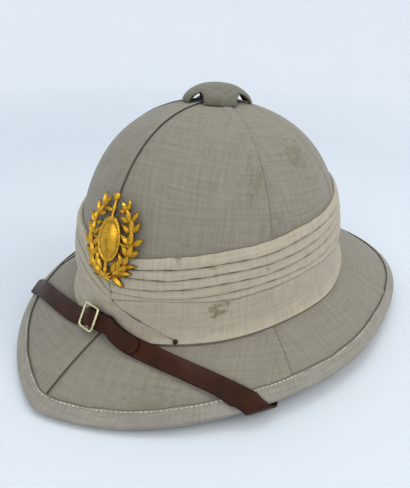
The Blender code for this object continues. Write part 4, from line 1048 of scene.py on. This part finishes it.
def turned_piece(name, profile, centre, normal, finish):
    """A profile of radii and heights spun round an axis that stands on a point along a normal."""
    side = np.cross(normal, (0.0, 0.0, 1.0))
    side = side / np.linalg.norm(side)
    up = np.cross(normal, side)
    angle = np.linspace(0, 2 * math.pi, TURNED_SIDES, endpoint=False)
    flat = np.cos(angle)[:, None] * side - np.sin(angle)[:, None] * up
    radius, height = np.array(profile).T
    points = centre + radius[:, None, None] * flat + height[:, None, None] * normal
    return weld(grid_mesh(name, points, finish, joined=True))


def make_tack():
    """A domed head a little over 3 mm across, standing on the hem beside the slanting end."""
    turn = np.array(WRAP_END_TURN * 0.97)
    run = wrap_foot_run(turn) - TACK_UP / brim_length(turn)
    dome = np.linspace(0, math.pi / 2, 8)
    radius = np.concatenate([[0.0], TACK_RADIUS * 1.05 * np.cos(dome)])
    height = np.concatenate([[0.0], TACK_RISE * (0.15 + np.sin(dome))])
    normal = skin_normal(turn, run)
    profile = np.stack([radius, height], -1)[::-1]
    return turned_piece("puggaree_tack", profile, layer(turn, run, TACK_LIFT), normal, iron)


tack = dress(make_tack(), "dark_tack", "wrap_tack")

# %% Ventilator cap
CLOTH_RADIUS = 0.0240
CLOTH_RISE = 0.0112
CLOTH_ARCH = 0.0066
CLOTH_DOME = 2.5
CAP_ROWS, CAP_TURNS = 40, 320
RIM = (
    # share of the way from the outer face to the inner one, metres lower, share of the painted shade inside
    (0.25, 0.0003, 0.3),
    (0.50, 0.0004, 0.6),
    (0.75, 0.0003, 0.9),
)


def arches(turn):
    """How far each place of the rim is lifted: 1 in the middle of each of four arches and 0 on a lobe."""
    return np.sqrt(np.clip((np.cos(4 * turn) - 0.25) / 0.75, 0, 1))


def cap_surface(turn, share, radius, rise):
    """A dome of this radius and rise standing on the crown; share 0 is its top, 1 its lowest edge."""
    edge = (1 - (CLOTH_ARCH * arches(turn) / rise) ** 2) ** (1 / CLOTH_DOME)
    reach = share * edge
    height = rise * np.sqrt(np.clip(1 - reach**CLOTH_DOME, 0, 1))
    flare = CAP_FLARE * reach**6 * (1 - arches(turn))
    skin = skin_point(turn, run_of_width(turn, (radius * reach + flare) / foot_radius(turn)))
    skin[..., 2] += height + SEAM_RIDGE + GAP
    return skin


def make_cap_piece():
    """The dome's outer face, its rounded rim and its inner face, as one closed grid."""
    turn = np.linspace(0, 2 * math.pi, CAP_TURNS, endpoint=False)
    down = np.sin(np.linspace(0.0, math.pi / 2, CAP_ROWS))[:, None]
    outer = cap_surface(turn[None, :], down, CLOTH_RADIUS, CLOTH_RISE)
    inner = cap_surface(turn[None, :], down, CLOTH_RADIUS - CAP_WALL, CLOTH_RISE - CAP_WALL)
    inner[-1, :, 2] = outer[-1, :, 2]
    ridge = 0.0005 * bell(arches(turn), 0.35, 0.25) * soft_step(down, 0.6, 1.0)
    dimple = 0.0005 * bell(down, 0.0, 0.15)
    outer[..., 2] += ridge - dimple + 0.0001 * np.sin(9 * turn) * down
    across, lower, inside_shade = np.array(RIM).T
    rim = outer[-1] + (inner[-1] - outer[-1]) * across[:, None, None]
    rim[:, :, 2] -= lower[:, None]
    grid = np.concatenate([outer, rim, inner[::-1]])
    flat = grid[..., :2] * (1 + 4 * (grid[..., 2:].max() - grid[..., 2:]))
    # Painted shade: the rim and the inner face under the dome are darkened as shadow, and so is a band at the
    # outer face's lower edge.
    inside = np.concatenate([np.zeros(CAP_ROWS), inside_shade, np.ones(CAP_ROWS)])[:, None]
    edge = bell(np.concatenate([down, np.ones((len(RIM) + CAP_ROWS, 1))]), 1.0, 0.08)
    marks = {"painted_shade": np.clip(inside + 0.35 * edge, 0, 1) + 0 * turn}
    return weld(grid_mesh("cloth_cap", grid, cap_drill, flat, marks, joined=True))


cap = dress(make_cap_piece(), "khaki_drill", "ventilator_cap")

# %% Collar under the cap
def finish_solid(node, finish):
    """Gives one of the model's own solids a material and leaves its shape alone."""
    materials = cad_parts[node].data.materials
    materials.clear()
    materials.append(finish)
    print(node, "keeps its solid and takes", finish.name)


finish_solid("ventilator_seat", zinc)

# %% [markdown]
# ## The chin strap
#
# The strap is one length of brown leather, 12 mm wide, worn up over the front of the brim. It leans on
# the puggaree at the front, crosses the edge on both sides, wraps round it and runs under the brim to a
# stud inside the crown. It is a flat section with rounded edges carried along stations that lie on the
# brim, so it is modelled directly: cloth simulation would lose so thin a piece. At the front its free
# end passes through a brass wire buckle and lies along the top of the strap.

# %% Route of the strap
BOW_OUT = 0.0074
BOW_POWER = 1.6


def strap_plan(x):
    """Plan of the strap's middle line, its slope and its reach: y grows from the front as a power of x.

    The power is below 2, so the strap is straighter than a parabola between the buckle and the edge.
    """
    front = skin_point(0.0, 1 + BOW_OUT / brim_length(np.array(0.0)))
    edge = skin_point(STRAP_EDGE_TURN, 2.0)
    bow = (edge[1] - front[1]) / edge[0] ** BOW_POWER
    away = np.hypot(x, 0.003)
    return front[1] + bow * away**BOW_POWER, BOW_POWER * bow * away ** (BOW_POWER - 2) * x, edge[0]


def over_plan(x, y, offset):
    """The point above a place in plan that lies at a distance outside the skin of the brim."""
    turn = np.arctan2(x * BRIM_FRONT / BRIM_SIDE, -(y + BRIM_MIDDLE))
    run = 1.4 + 0 * turn
    highest = 0.35 + 0.65 * run_of_height(turn, FILLET_UP)
    for _ in range(40):
        here = layer(turn, run, offset)
        by_turn = (layer(turn + TINY, run, offset) - here)[..., :2] / TINY
        by_run = (layer(turn, run + TINY, offset) - here)[..., :2] / TINY
        miss = np.stack([x, y], -1) - here[..., :2]
        area = by_turn[..., 0] * by_run[..., 1] - by_turn[..., 1] * by_run[..., 0]
        turn_step = (miss[..., 0] * by_run[..., 1] - miss[..., 1] * by_run[..., 0]) / area
        run_step = (by_turn[..., 0] * miss[..., 1] - by_turn[..., 1] * miss[..., 0]) / area
        turn = turn + np.clip(turn_step, -0.05, 0.05)
        run = np.clip(run + np.clip(run_step, -0.05, 0.05), highest, 2.1)
    return layer(turn, run, offset), turn


def strap_frames(x):
    """Middle of the strap's underside over the brim, with its along, across and outward directions.

    The upper edge leans on the puggaree at the front, and the lower edge lies on the brim.
    """
    y, slope, _ = strap_plan(x)
    across = np.stack([-slope, 1 + 0 * x], -1) / np.sqrt(1 + slope**2)[..., None]
    _, turn = over_plan(x, y, 0 * x + STRAP_LIFT)
    first, last = STRAP_WRAP_TURNS
    on_wrap = 1 - np.clip((np.abs(turn) - first) / (last - first), 0, 1)
    half = (STRAP_WIDTH * (STRAP_REST - STRAP_REST_LESS * on_wrap))[:, None]
    high = np.stack([x, y], -1) + across * half
    low = np.stack([x, y], -1) - across * half
    on_edge = np.clip((np.abs(turn) / STRAP_EDGE_TURN - 0.75) / 0.15, 0, 1)
    wrap = WRAP_INNER + APRON + GAP
    over_edge = STRAP_LIFT + (GAP + BINDING + STRAP_OVER - STRAP_LIFT) * on_edge
    upper, _ = over_plan(high[..., 0], high[..., 1], over_edge + (wrap * 1.1 - STRAP_LIFT) * on_wrap)
    lower, _ = over_plan(low[..., 0], low[..., 1], over_edge)
    across = upper - lower
    across = across / np.linalg.norm(across, axis=-1)[..., None]
    middle = upper - across * STRAP_WIDTH / 2
    along = np.gradient(middle, axis=0)
    along = along - across * np.sum(along * across, -1)[..., None]
    along = along / np.linalg.norm(along, axis=-1)[..., None]
    return middle, along, across, np.cross(along, across)


def edge_crossing():
    """Where the strap's middle crosses the brim's edge.

    Gives the point, the strap's way along, the normal, the way out, the edge's own way, and the strap's
    cross line there: parallel to the edge, so longer than its width.
    """
    _, _, reach = strap_plan(np.array(0.0))
    _, slope, _ = strap_plan(reach)
    normal = skin_normal(STRAP_EDGE_TURN, 2.0)
    middle = layer(STRAP_EDGE_TURN, 2.0, GAP + BINDING + STRAP_OVER)
    along = np.array((1.0, slope, -(normal[0] + slope * normal[1]) / normal[2]))
    along = along / np.linalg.norm(along)
    edge_along = skin_point(STRAP_EDGE_TURN + TINY, 2.0) - skin_point(STRAP_EDGE_TURN - TINY, 2.0)
    edge_along = edge_along / np.linalg.norm(edge_along)
    line = edge_along / np.dot(edge_along, np.cross(normal, along))
    return middle, along, normal, np.cross(edge_along, normal), edge_along, line


def skewed(across, along, line, distance):
    """Cross lines of the strap, turned from square to the edge's line as the distance to it shrinks."""
    slant = np.sum(line * along, -1) / np.sum(line * across, -1)
    share = np.clip(1 - distance / STRAP_SKEW, 0, 1)
    return across + along * (slant * share)[:, None]


def strap_side(sign):
    """Stations from the brim's edge round it and under the brim to the anchor inside the crown."""
    middle, along, normal, outward, edge_along, line = edge_crossing()
    drift = np.dot(along, edge_along) / np.dot(along, outward)
    angles = np.radians(np.linspace(0, 180, 19))
    thick = GAP + BINDING + STRAP_OVER + UNDER_EDGE + STRAP_UNDER + STRAP_DROP / 2
    rise = thick / 2 * (np.sign(np.cos(angles)) * np.sqrt(np.abs(np.cos(angles))) - 1)
    out = (EDGE_OUT + STRAP_CLEAR + STRAP_BEND_IN) * np.sqrt(np.abs(np.sin(angles))) - STRAP_BEND_IN
    gone = np.concatenate([[0.0], np.cumsum(np.hypot(np.diff(out), np.diff(rise)))]) - STRAP_BEND_IN
    bend = middle + np.outer(out, outward) + np.outer(rise, normal) + np.outer(gone * drift, edge_along)
    facing = np.outer(np.cos(angles), normal) + np.outer(np.sin(angles), outward)
    turn = math.atan2(bend[-1, 0] * BRIM_FRONT / BRIM_SIDE, -(bend[-1, 1] + BRIM_MIDDLE))
    shares = np.linspace(0.01, 1, 60) ** 0.6
    top = run_of_height(np.array(STRAP_ANCHOR_TURN), ANCHOR_UP)
    turns = turn + (STRAP_ANCHOR_TURN - turn) * np.minimum(shares * 1.15, 1)
    runs = 1.93 + (top - 1.93) * shares
    wall = SHELL_WALL + (SHELL_EDGE - SHELL_WALL) * np.clip(runs - 1, 0, 1)
    under = CLOTH + GAP + np.maximum(wall, SHELL_EDGE + GAP + BINDING) + STRAP_UNDER
    under += STRAP_DROP * np.clip(1 - shares / 0.5, 0, 1)
    points = layer(turns, runs, -under)
    inward = -skin_normal(turns, runs)
    ahead = np.gradient(points, axis=0)
    ahead = ahead / np.linalg.norm(ahead, axis=-1)[:, None]
    sides = np.cross(inward, ahead)
    sides = sides / np.linalg.norm(sides, axis=-1)[:, None]
    sides = skewed(sides, ahead, line, np.linalg.norm(points - bend[-1], axis=-1))
    places = np.concatenate([bend, points])
    lines = np.concatenate([line + 0 * bend, sides])
    outs = np.concatenate([facing, inward])
    return [part * (sign, 1, 1) for part in (places, lines, outs)]


# %% Strap and tail
EDGE_ROUND = 0.00055
TOP_CROWN = 0.06
BEND_ROOM = 0.0045
TAIL_TIP = 0.0055
TAIL_GAP = 0.0001


def leather_band(name, middle, across, normal, thickness, narrow):
    """A strip with rounded edges along these stations. narrow scales its width at each station.

    Its profile is a flat base and a slightly crowned top joined by half rounds.
    """
    arc = np.linspace(-math.pi / 2, math.pi / 2, 7)
    flat = np.linspace(-1, 1, 9)[1:-1]
    wide = np.concatenate([flat, 1 + 0 * arc, flat[::-1], -1 + 0 * arc]) * (STRAP_WIDTH / 2 - EDGE_ROUND)
    wide = wide + EDGE_ROUND * np.concatenate([0 * flat, np.cos(arc), 0 * flat, -np.cos(arc)])
    side = 0.47 * np.sin(arc)
    high = thickness * np.concatenate([0 * flat, 0.5 + side, 1 - TOP_CROWN * flat**2, 0.5 - side])
    points = middle[:, None] + across[:, None] * (wide * narrow[:, None])[..., None]
    points = points + normal[:, None] * high[:, None]
    along = length_along(middle, 0)
    uv = np.stack([along[:, None] + 0 * wide, wide + 0 * along[:, None]], -1)
    points = capped(points)
    uv = np.concatenate([uv[:1], uv, uv[-1:]])
    faces = quads(*points.shape[:2], joined=True)[:, ::-1]
    return weld(make_mesh(name, points, faces, leather, uv))


def make_strap_piece():
    """The whole strap: an anchor inside the crown, under the brim, over the front and back the same way."""
    _, _, reach = strap_plan(np.array(0.0))
    x = np.linspace(-reach, reach, 161)
    x = np.concatenate([[-reach], x[np.abs(x) < reach - BEND_ROOM], [reach]])
    middle, along, across, normal = strap_frames(x)
    line = edge_crossing()[-1]
    lines = np.where(x[:, None] > 0, line, line * (-1, 1, 1))
    across = skewed(across, along, lines, reach - np.abs(x))
    left, right = strap_side(1), strap_side(-1)
    points = np.concatenate([right[0][::-1], middle[1:-1], left[0]])
    sides = np.concatenate([right[1][::-1], across[1:-1], left[1]])
    outs = np.concatenate([right[2][::-1], normal[1:-1], left[2]])
    print("strap is", round(length_along(points, 0)[-1] * 1000), "mm long between its studs")
    return leather_band("leather_strap", points, sides, outs, STRAP_THICKNESS, np.ones(len(points)))


def make_tail_piece():
    """The free end over the buckle's bar, its tip cut to a blunt round point."""
    x = np.linspace(BUCKLE_OUT - BUCKLE_ALONG * 0.46, BUCKLE_OUT + TAIL_LENGTH, 90)
    middle, _, across, normal = strap_frames(x)
    hump = (BUCKLE_BAR + GAP) * np.exp(-(((x - BUCKLE_OUT) / 0.0032) ** 4))
    middle = middle + normal * (STRAP_THICKNESS + TAIL_GAP + hump)[:, None]
    tip = np.clip((x - (BUCKLE_OUT + TAIL_LENGTH - TAIL_TIP)) / TAIL_TIP, 0, 1)
    narrow = 1 - 0.75 * tip**2.2
    return leather_band("strap_free_end", middle, across * 0.94, normal, TAIL_THICKNESS, narrow)


strap = dress(make_strap_piece(), "brown_leather", "chin_strap")
tail = dress(make_tail_piece(), "brown_leather", "strap_tail")

# %% Buckle
WIRE_SIDES = 14
BUCKLE_CORNER = 0.24
BUCKLE_STAND = 0.0004
BAR_STAND = 0.0007
BAR_RADIUS = 0.0006
SAME_PLACE = 2e-5


def wire(path, radius, columns=WIRE_SIDES, closed=False):
    """A round wire along a path in a plane: circles square to the path, whose radius may change."""
    if closed:
        ahead = np.roll(path, -1, 0) - np.roll(path, 1, 0)
    else:
        ahead = np.gradient(path, axis=0)
    ahead = ahead / np.linalg.norm(ahead, axis=-1)[:, None]
    out = np.cross(ahead, (0.0, 0.0, 1.0))
    up = np.cross(out, ahead)
    angle = np.linspace(0, 2 * math.pi, columns, endpoint=False)[None, :, None]
    ring = out[:, None] * np.cos(angle) + up[:, None] * np.sin(angle)
    return path[:, None] + ring * np.broadcast_to(radius, len(path))[:, None, None]


def make_buckle_piece():
    """A rounded rectangle of brass wire with a straight bar across its middle."""
    near = np.linspace(BUCKLE_OUT - 0.002, BUCKLE_OUT + 0.002, 3)
    centre, along, across, normal = (part[1] for part in strap_frames(near))
    angle = np.linspace(0, 2 * math.pi, 160, endpoint=False)
    sine, cosine = np.sin(angle), np.cos(angle)
    far = (BUCKLE_ALONG - BUCKLE_WIRE) / 2 * np.sign(cosine) * np.abs(cosine) ** BUCKLE_CORNER
    wide = (BUCKLE_ACROSS - BUCKLE_WIRE) / 2 * np.sign(sine) * np.abs(sine) ** BUCKLE_CORNER
    high = STRAP_THICKNESS + TAIL_THICKNESS + BUCKLE_WIRE / 2 + BUCKLE_STAND
    path = np.stack([far, wide, high + 0 * far], -1)
    path = np.concatenate([path[:1], path, path[:1]])
    step = np.concatenate([[True], np.linalg.norm(np.diff(path, axis=0), axis=-1) > SAME_PLACE])
    ring = wire(path[step][:-1], BUCKLE_WIRE / 2, closed=True)
    reach = BUCKLE_ACROSS / 2 - BUCKLE_WIRE * 0.6
    line = np.linspace(-reach, reach, 24)
    low = STRAP_THICKNESS + BAR_STAND
    sag = low + (high - low) * np.abs(line / reach) ** 10
    bar = capped(wire(np.stack([0 * line, line, sag], -1), BAR_RADIUS))
    points = np.concatenate([ring.reshape(-1, 3), bar.reshape(-1, 3)])
    round_faces = quads(len(ring), WIRE_SIDES, joined=True, ring=True)
    bar_faces = quads(len(bar), WIRE_SIDES, joined=True) + ring.size // 3
    faces = np.concatenate([round_faces, bar_faces])
    points = centre + points @ np.stack([along, across, normal])
    return weld(make_mesh("wire_buckle", points, faces, brass))


buckle = dress(make_buckle_piece(), "pale_brass", "strap_buckle")

# %% Studs inside the crown
for stud in ("strap_anchor_left", "strap_anchor_right"):
    finish_solid(stud, brass)

# %% [markdown]
# ## The badge
#
# A gilt badge is pinned to the front above the crossing: two leafy sprays, tied at the foot and open at
# the top, round a plain oval boss that stands on a pin and carries a small pearl. It has no arms, letters
# or figure. Such a badge is cast in brass and gilded. The whole of it is worked out flat, each leaf a
# small curved grid with a raised midrib, and then bent to the crown by the skin's own formula.

# %% Badge
BADGE_ASIDE = 0.0036
BADGE_UP = 0.0015
SPRAY_IN, SPRAY_UP = 0.0070, 0.0072
SPRAY_START = math.radians(6)
STEM_RADIUS = 0.00085
LEAF_SHEET = 0.0007
LEAF_SHAPE = 0.42
HOLLOW_FOOT, HOLLOW_TOP = 0.0004, 0.0016
PIN_INSET = 0.0050
BAR_WIRE = 0.00075
TIE_REACH, TIE_WIRE = 0.0046, 0.0008
BOSS_RINGS = (
    # share of the boss's size, height in mm: under side, rim, bead, groove, dome
    (0.0, 0.1), (0.94, 0.1), (1.0, 0.3), (1.02, 0.8), (0.99, 1.5), (0.93, 1.9), (0.88, 1.8), (0.85, 1.5),
    (0.82, 1.2), (0.79, 1.15), (0.75, 1.3), (0.70, 1.7), (0.60, 2.3), (0.45, 2.9), (0.25, 3.2), (0.0, 3.3),
)


def leaf_grid(base, heading, length, width, lift, curl):
    """A pointed leaf. Its width is a sine that leans to the base; it has a sharp rib and drooping sides."""
    along = np.linspace(0, 1, 12)[:, None]
    side = np.linspace(-1, 1, 9)[None, :]
    wide = width / 2 * np.sin(math.pi * along**0.8) ** 0.85
    rib = 0.0006 * (1 - np.abs(side)) ** 2 * np.sin(math.pi * np.clip(along, 0.02, 0.98)) ** 0.5
    far = length * along + 0 * side
    bend = curl * length * along**2
    across = wide * side + bend
    up = lift + 0.0010 * np.sin(math.pi * along) + rib - 0.0007 * side**2 * np.sin(math.pi * along)
    ahead = np.array((math.cos(heading), math.sin(heading)))
    beside = np.array((-ahead[1], ahead[0]))
    plan = base + far[..., None] * ahead + across[..., None] * beside
    top = np.concatenate([plan, up[..., None]], -1)
    low = np.concatenate([plan, (up - LEAF_SHEET)[..., None]], -1)
    return np.concatenate([top, low[:, ::-1]], axis=1)


def spray_parts():
    """Grids of the two sprays, worked out flat: a stem each, and groups of three leaves along it."""
    parts = []
    wide, tall = BADGE_WIDTH / 2 - SPRAY_IN, BADGE_HEIGHT / 2 - SPRAY_UP
    for side in (-1, 1):
        share = np.linspace(-0.05, 1, 60)
        angle = -math.pi / 2 + side * (SPRAY_START + (math.pi - SPRAY_OPENING) * share)
        waver = 1 + 0.02 * np.sin(23 * share)
        path = np.stack([wide * np.cos(angle) * waver, tall * np.sin(angle) * waver, 0.0007 + 0 * share], -1)
        parts.append(wire(path, STEM_RADIUS * (1.15 - 0.6 * share), 8))
        for number, place in enumerate(np.linspace(0.05, 0.93, 8)):
            turn = -math.pi / 2 + side * (SPRAY_START + (math.pi - SPRAY_OPENING) * place)
            point = np.array((wide * math.cos(turn), tall * math.sin(turn)))
            heading = math.atan2(side * tall * math.cos(turn), -side * wide * math.sin(turn))
            size = 0.0098 - 0.0028 * place + 0.0006 * math.sin(5 * number + side)
            for spread in (-46, 0, 44):
                lean = math.radians(spread + 7 * math.sin(3 * number + spread + side))
                lift = 0.0006 + 0.0005 * (spread == 0) + 0.0002 * math.sin(number * 2.3)
                way = heading + lean
                start = point + 0.0008 * np.array((math.cos(way), math.sin(way)))
                parts.append(leaf_grid(start, way, size, size * LEAF_SHAPE, lift, 0.05 * side))
    return parts


def boss_parts():
    """The boss, an oval of stepped rings, with a pin above and below, a bar, a tie and a pearl."""
    angle = np.linspace(0, 2 * math.pi, 64, endpoint=False)
    share, high = np.array(BOSS_RINGS).T[:, :, None]
    rings = np.stack([
        BOSS_WIDTH / 2 * share * np.cos(-angle),
        BOSS_HEIGHT / 2 * share * np.sin(-angle),
        high / 1000 + 0 * angle,
    ], -1)
    parts = [rings]
    pins = (
        # lower end, upper end, radius
        (-BADGE_HEIGHT / 2 + PIN_INSET, -BOSS_HEIGHT / 2 + 0.001, 0.0011),
        (BOSS_HEIGHT / 2 - 0.001, BADGE_HEIGHT / 2 - PIN_INSET, 0.0009),
    )
    for low, top, size in pins:
        line = np.linspace(low, top, 20)
        knob = 1 + 0.5 * bell(line, (low + top) / 2, 0.0012)
        parts.append(wire(np.stack([0 * line, line, 0.0011 + 0 * line], -1), size * knob, 12))
    reach = BADGE_WIDTH / 2 - SPRAY_IN
    line = np.linspace(-reach, reach, 40)
    bar = np.stack([line, -0.0004 + 0.0008 * np.cos(line / reach * math.pi), 0.0006 + 0 * line], -1)
    parts.append(wire(bar, BAR_WIRE, 10))
    for lean in (-0.55, 0.55, 0.0):
        line = np.linspace(-TIE_REACH, TIE_REACH, 24)
        foot = -BADGE_HEIGHT / 2 + SPRAY_UP
        bow = np.stack([line * math.cos(lean), foot + line * math.sin(lean), 0.0019 - 18 * line**2], -1)
        parts.append(wire(bow, TIE_WIRE, 10))
    polar = np.linspace(0, math.pi, 14)
    ball = PEARL_RADIUS * 1.05
    around = np.linspace(0, 2 * math.pi, 24, endpoint=False)
    pearl = np.stack([
        ball * np.sin(polar)[:, None] * np.cos(-around),
        BADGE_HEIGHT / 2 - PEARL_RADIUS - 0.0025 + ball * np.sin(polar)[:, None] * np.sin(-around),
        0.0014 - ball * np.cos(polar)[:, None] + 0 * around,
    ], -1)
    return parts + [pearl]


def make_badge_piece():
    """Joins the grids into one mesh and bends it: across by distance, up by height, out along the normal."""
    points, faces, count = [], [], 0
    for grid in spray_parts() + boss_parts():
        grid = capped(grid)
        faces.append(quads(*grid.shape[:2], joined=True) + count)
        points.append(grid.reshape(-1, 3))
        count += len(points[-1])
    flat = np.concatenate(points) + (BADGE_ASIDE, BADGE_UP, 0)
    run = run_of_height(np.zeros(len(flat)), BADGE_MIDDLE + flat[:, 1])
    width = CROWN_SIDE * width_of_run(np.zeros(len(flat)), run)
    turn = np.sign(flat[:, 0]) * np.arcsin(np.clip(np.abs(flat[:, 0]) / width, 0, 1) ** (CROWN_ROUND / 2))
    stand = WRAP_INNER + PLEAT_THICK + 2 * GAP
    hollow = 0.85 * (1 - soft_step(flat[:, 2], HOLLOW_FOOT, HOLLOW_TOP))
    bent = layer(turn, run, stand + flat[:, 2])
    made = make_mesh("gilt_badge", bent, np.concatenate(faces), gilt, marks={"hollow": hollow})
    return weld(made, outward=True)


badge = dress(make_badge_piece(), "gilt_brass", "badge")

# %% [markdown]
# ## Floor, light and camera
#
# The helmet stands on a pale, slightly blue sheet that curves up all round it, with light painted in so it is
# lighter far away.
# A soft light comes from the right and a little behind, as from a window, another from the front, and a
# weaker one from above. The camera is close, about 0.4 m away, and looks down by 22 degrees, so the near
# brim spreads and the crown narrows.

# %% Floor
FLAT_OUT, BOWL_FOOT, BOWL_RISE, WALL_TOP = 0.6, 1.6, 1.0, 3.2


def make_floor():
    """A wide shallow bowl: a flat disc, then a quarter circle up and a straight wall, turned round +Z."""
    arc = np.linspace(0, math.pi / 2, 24)
    wall = BOWL_FOOT + BOWL_RISE
    radius = np.concatenate([[0.0, FLAT_OUT, 1.4], BOWL_FOOT + BOWL_RISE * np.sin(arc), [wall]])
    high = np.concatenate([[0.0, 0.0, 0.0], BOWL_RISE - BOWL_RISE * np.cos(arc), [WALL_TOP]])
    turn = np.linspace(0, 2 * math.pi, 96, endpoint=False)
    around = [radius[:, None] * np.sin(turn), -radius[:, None] * np.cos(turn), high[:, None] + 0 * turn]
    faces = quads(len(radius), 96, joined=True)[:, ::-1]
    # Painted light: the paper is grey on the floor near the helmet and white up the walls, standing in for
    # how the lamps light it.
    away = np.clip((radius[:, None] - FLAT_OUT) / 0.9, 0, 1) + 0 * turn
    floor = weld(make_mesh("paper_floor", np.stack(around, -1), faces, paper, marks={"away": away}))
    return floor


floor = make_floor()

# %% Light
def soft_light(name, place, target, size, watts, code):
    """A square area light at a place, aimed at a target."""
    data = bpy.data.lights.new(name, "AREA")
    data.size = size
    data.energy = watts
    data.color = linear(code)[:3]
    lamp = bpy.data.objects.new(name, data)
    bpy.context.scene.collection.objects.link(lamp)
    lamp.location = place
    aim = Vector(target) - Vector(place)
    lamp.rotation_euler = aim.to_track_quat("-Z", "Y").to_euler()
    return lamp


LIGHTS = (
    # name, place, target, side in metres, watts, colour
    ("window", (1.15, 0.35, 1.0), (0, 0, 0.07), 0.9, 7.0, "fff8ee"),
    ("fill", (0.35, -1.3, 0.9), (0, 0, 0.05), 1.2, 6.5, "fff4e6"),
    ("top", (0.1, 0.1, 1.6), (0, 0, 0), 0.6, 4.5, "ffffff"),
)
lights = [soft_light(*light) for light in LIGHTS]
world = bpy.data.worlds.new("room")
bpy.context.scene.world = world
world.use_nodes = True
sky = world.node_tree.nodes["Background"].inputs
sky["Color"].default_value = linear("e4edf5")
sky["Strength"].default_value = 0.92
bpy.context.scene.view_settings.view_transform = "Standard"

# %% Camera
# Fitted to the outline of the real helmet's picture. Focal length and shifts are in its pixels.
VIEW_TURN, VIEW_RISE, VIEW_ROLL = math.radians(36.42), math.radians(22.07), math.radians(1.64)
VIEW_ARM = 0.38459
VIEW_CENTRE = (0.0, -0.01275, 0.075)
PICTURE_HEIGHT = 488
FOCAL, SHIFT_RIGHT, SHIFT_UP = 476.98, -9.42, -30.07
SENSOR = 36


def make_camera():
    """A camera on an arm: turned round the helmet, raised, and rolled a little about its own axis."""
    turn, rise, roll = VIEW_TURN, VIEW_RISE, VIEW_ROLL
    back = np.array((math.sin(turn) * math.cos(rise), -math.cos(turn) * math.cos(rise), math.sin(rise)))
    right = np.array((math.cos(turn), math.sin(turn), 0.0))
    up = np.cross(back, right)
    rolled = math.cos(roll) * right + math.sin(roll) * up
    above = -math.sin(roll) * right + math.cos(roll) * up
    data = bpy.data.cameras.new("portrait")
    data.sensor_width = SENSOR
    data.lens = FOCAL / PICTURE_HEIGHT * SENSOR
    data.shift_x = SHIFT_RIGHT / PICTURE_HEIGHT
    data.shift_y = SHIFT_UP / PICTURE_HEIGHT
    data.clip_start = 0.01
    camera = bpy.data.objects.new("portrait", data)
    bpy.context.scene.collection.objects.link(camera)
    matrix = np.eye(4)
    matrix[:3, :3] = np.stack([rolled, above, back], 1)
    matrix[:3, 3] = np.array(VIEW_CENTRE) + back * VIEW_ARM
    camera.matrix_world = Matrix(matrix.tolist())
    bpy.context.scene.camera = camera
    return camera


camera = make_camera()
print("camera at", [round(value, 3) for value in camera.matrix_world.translation])
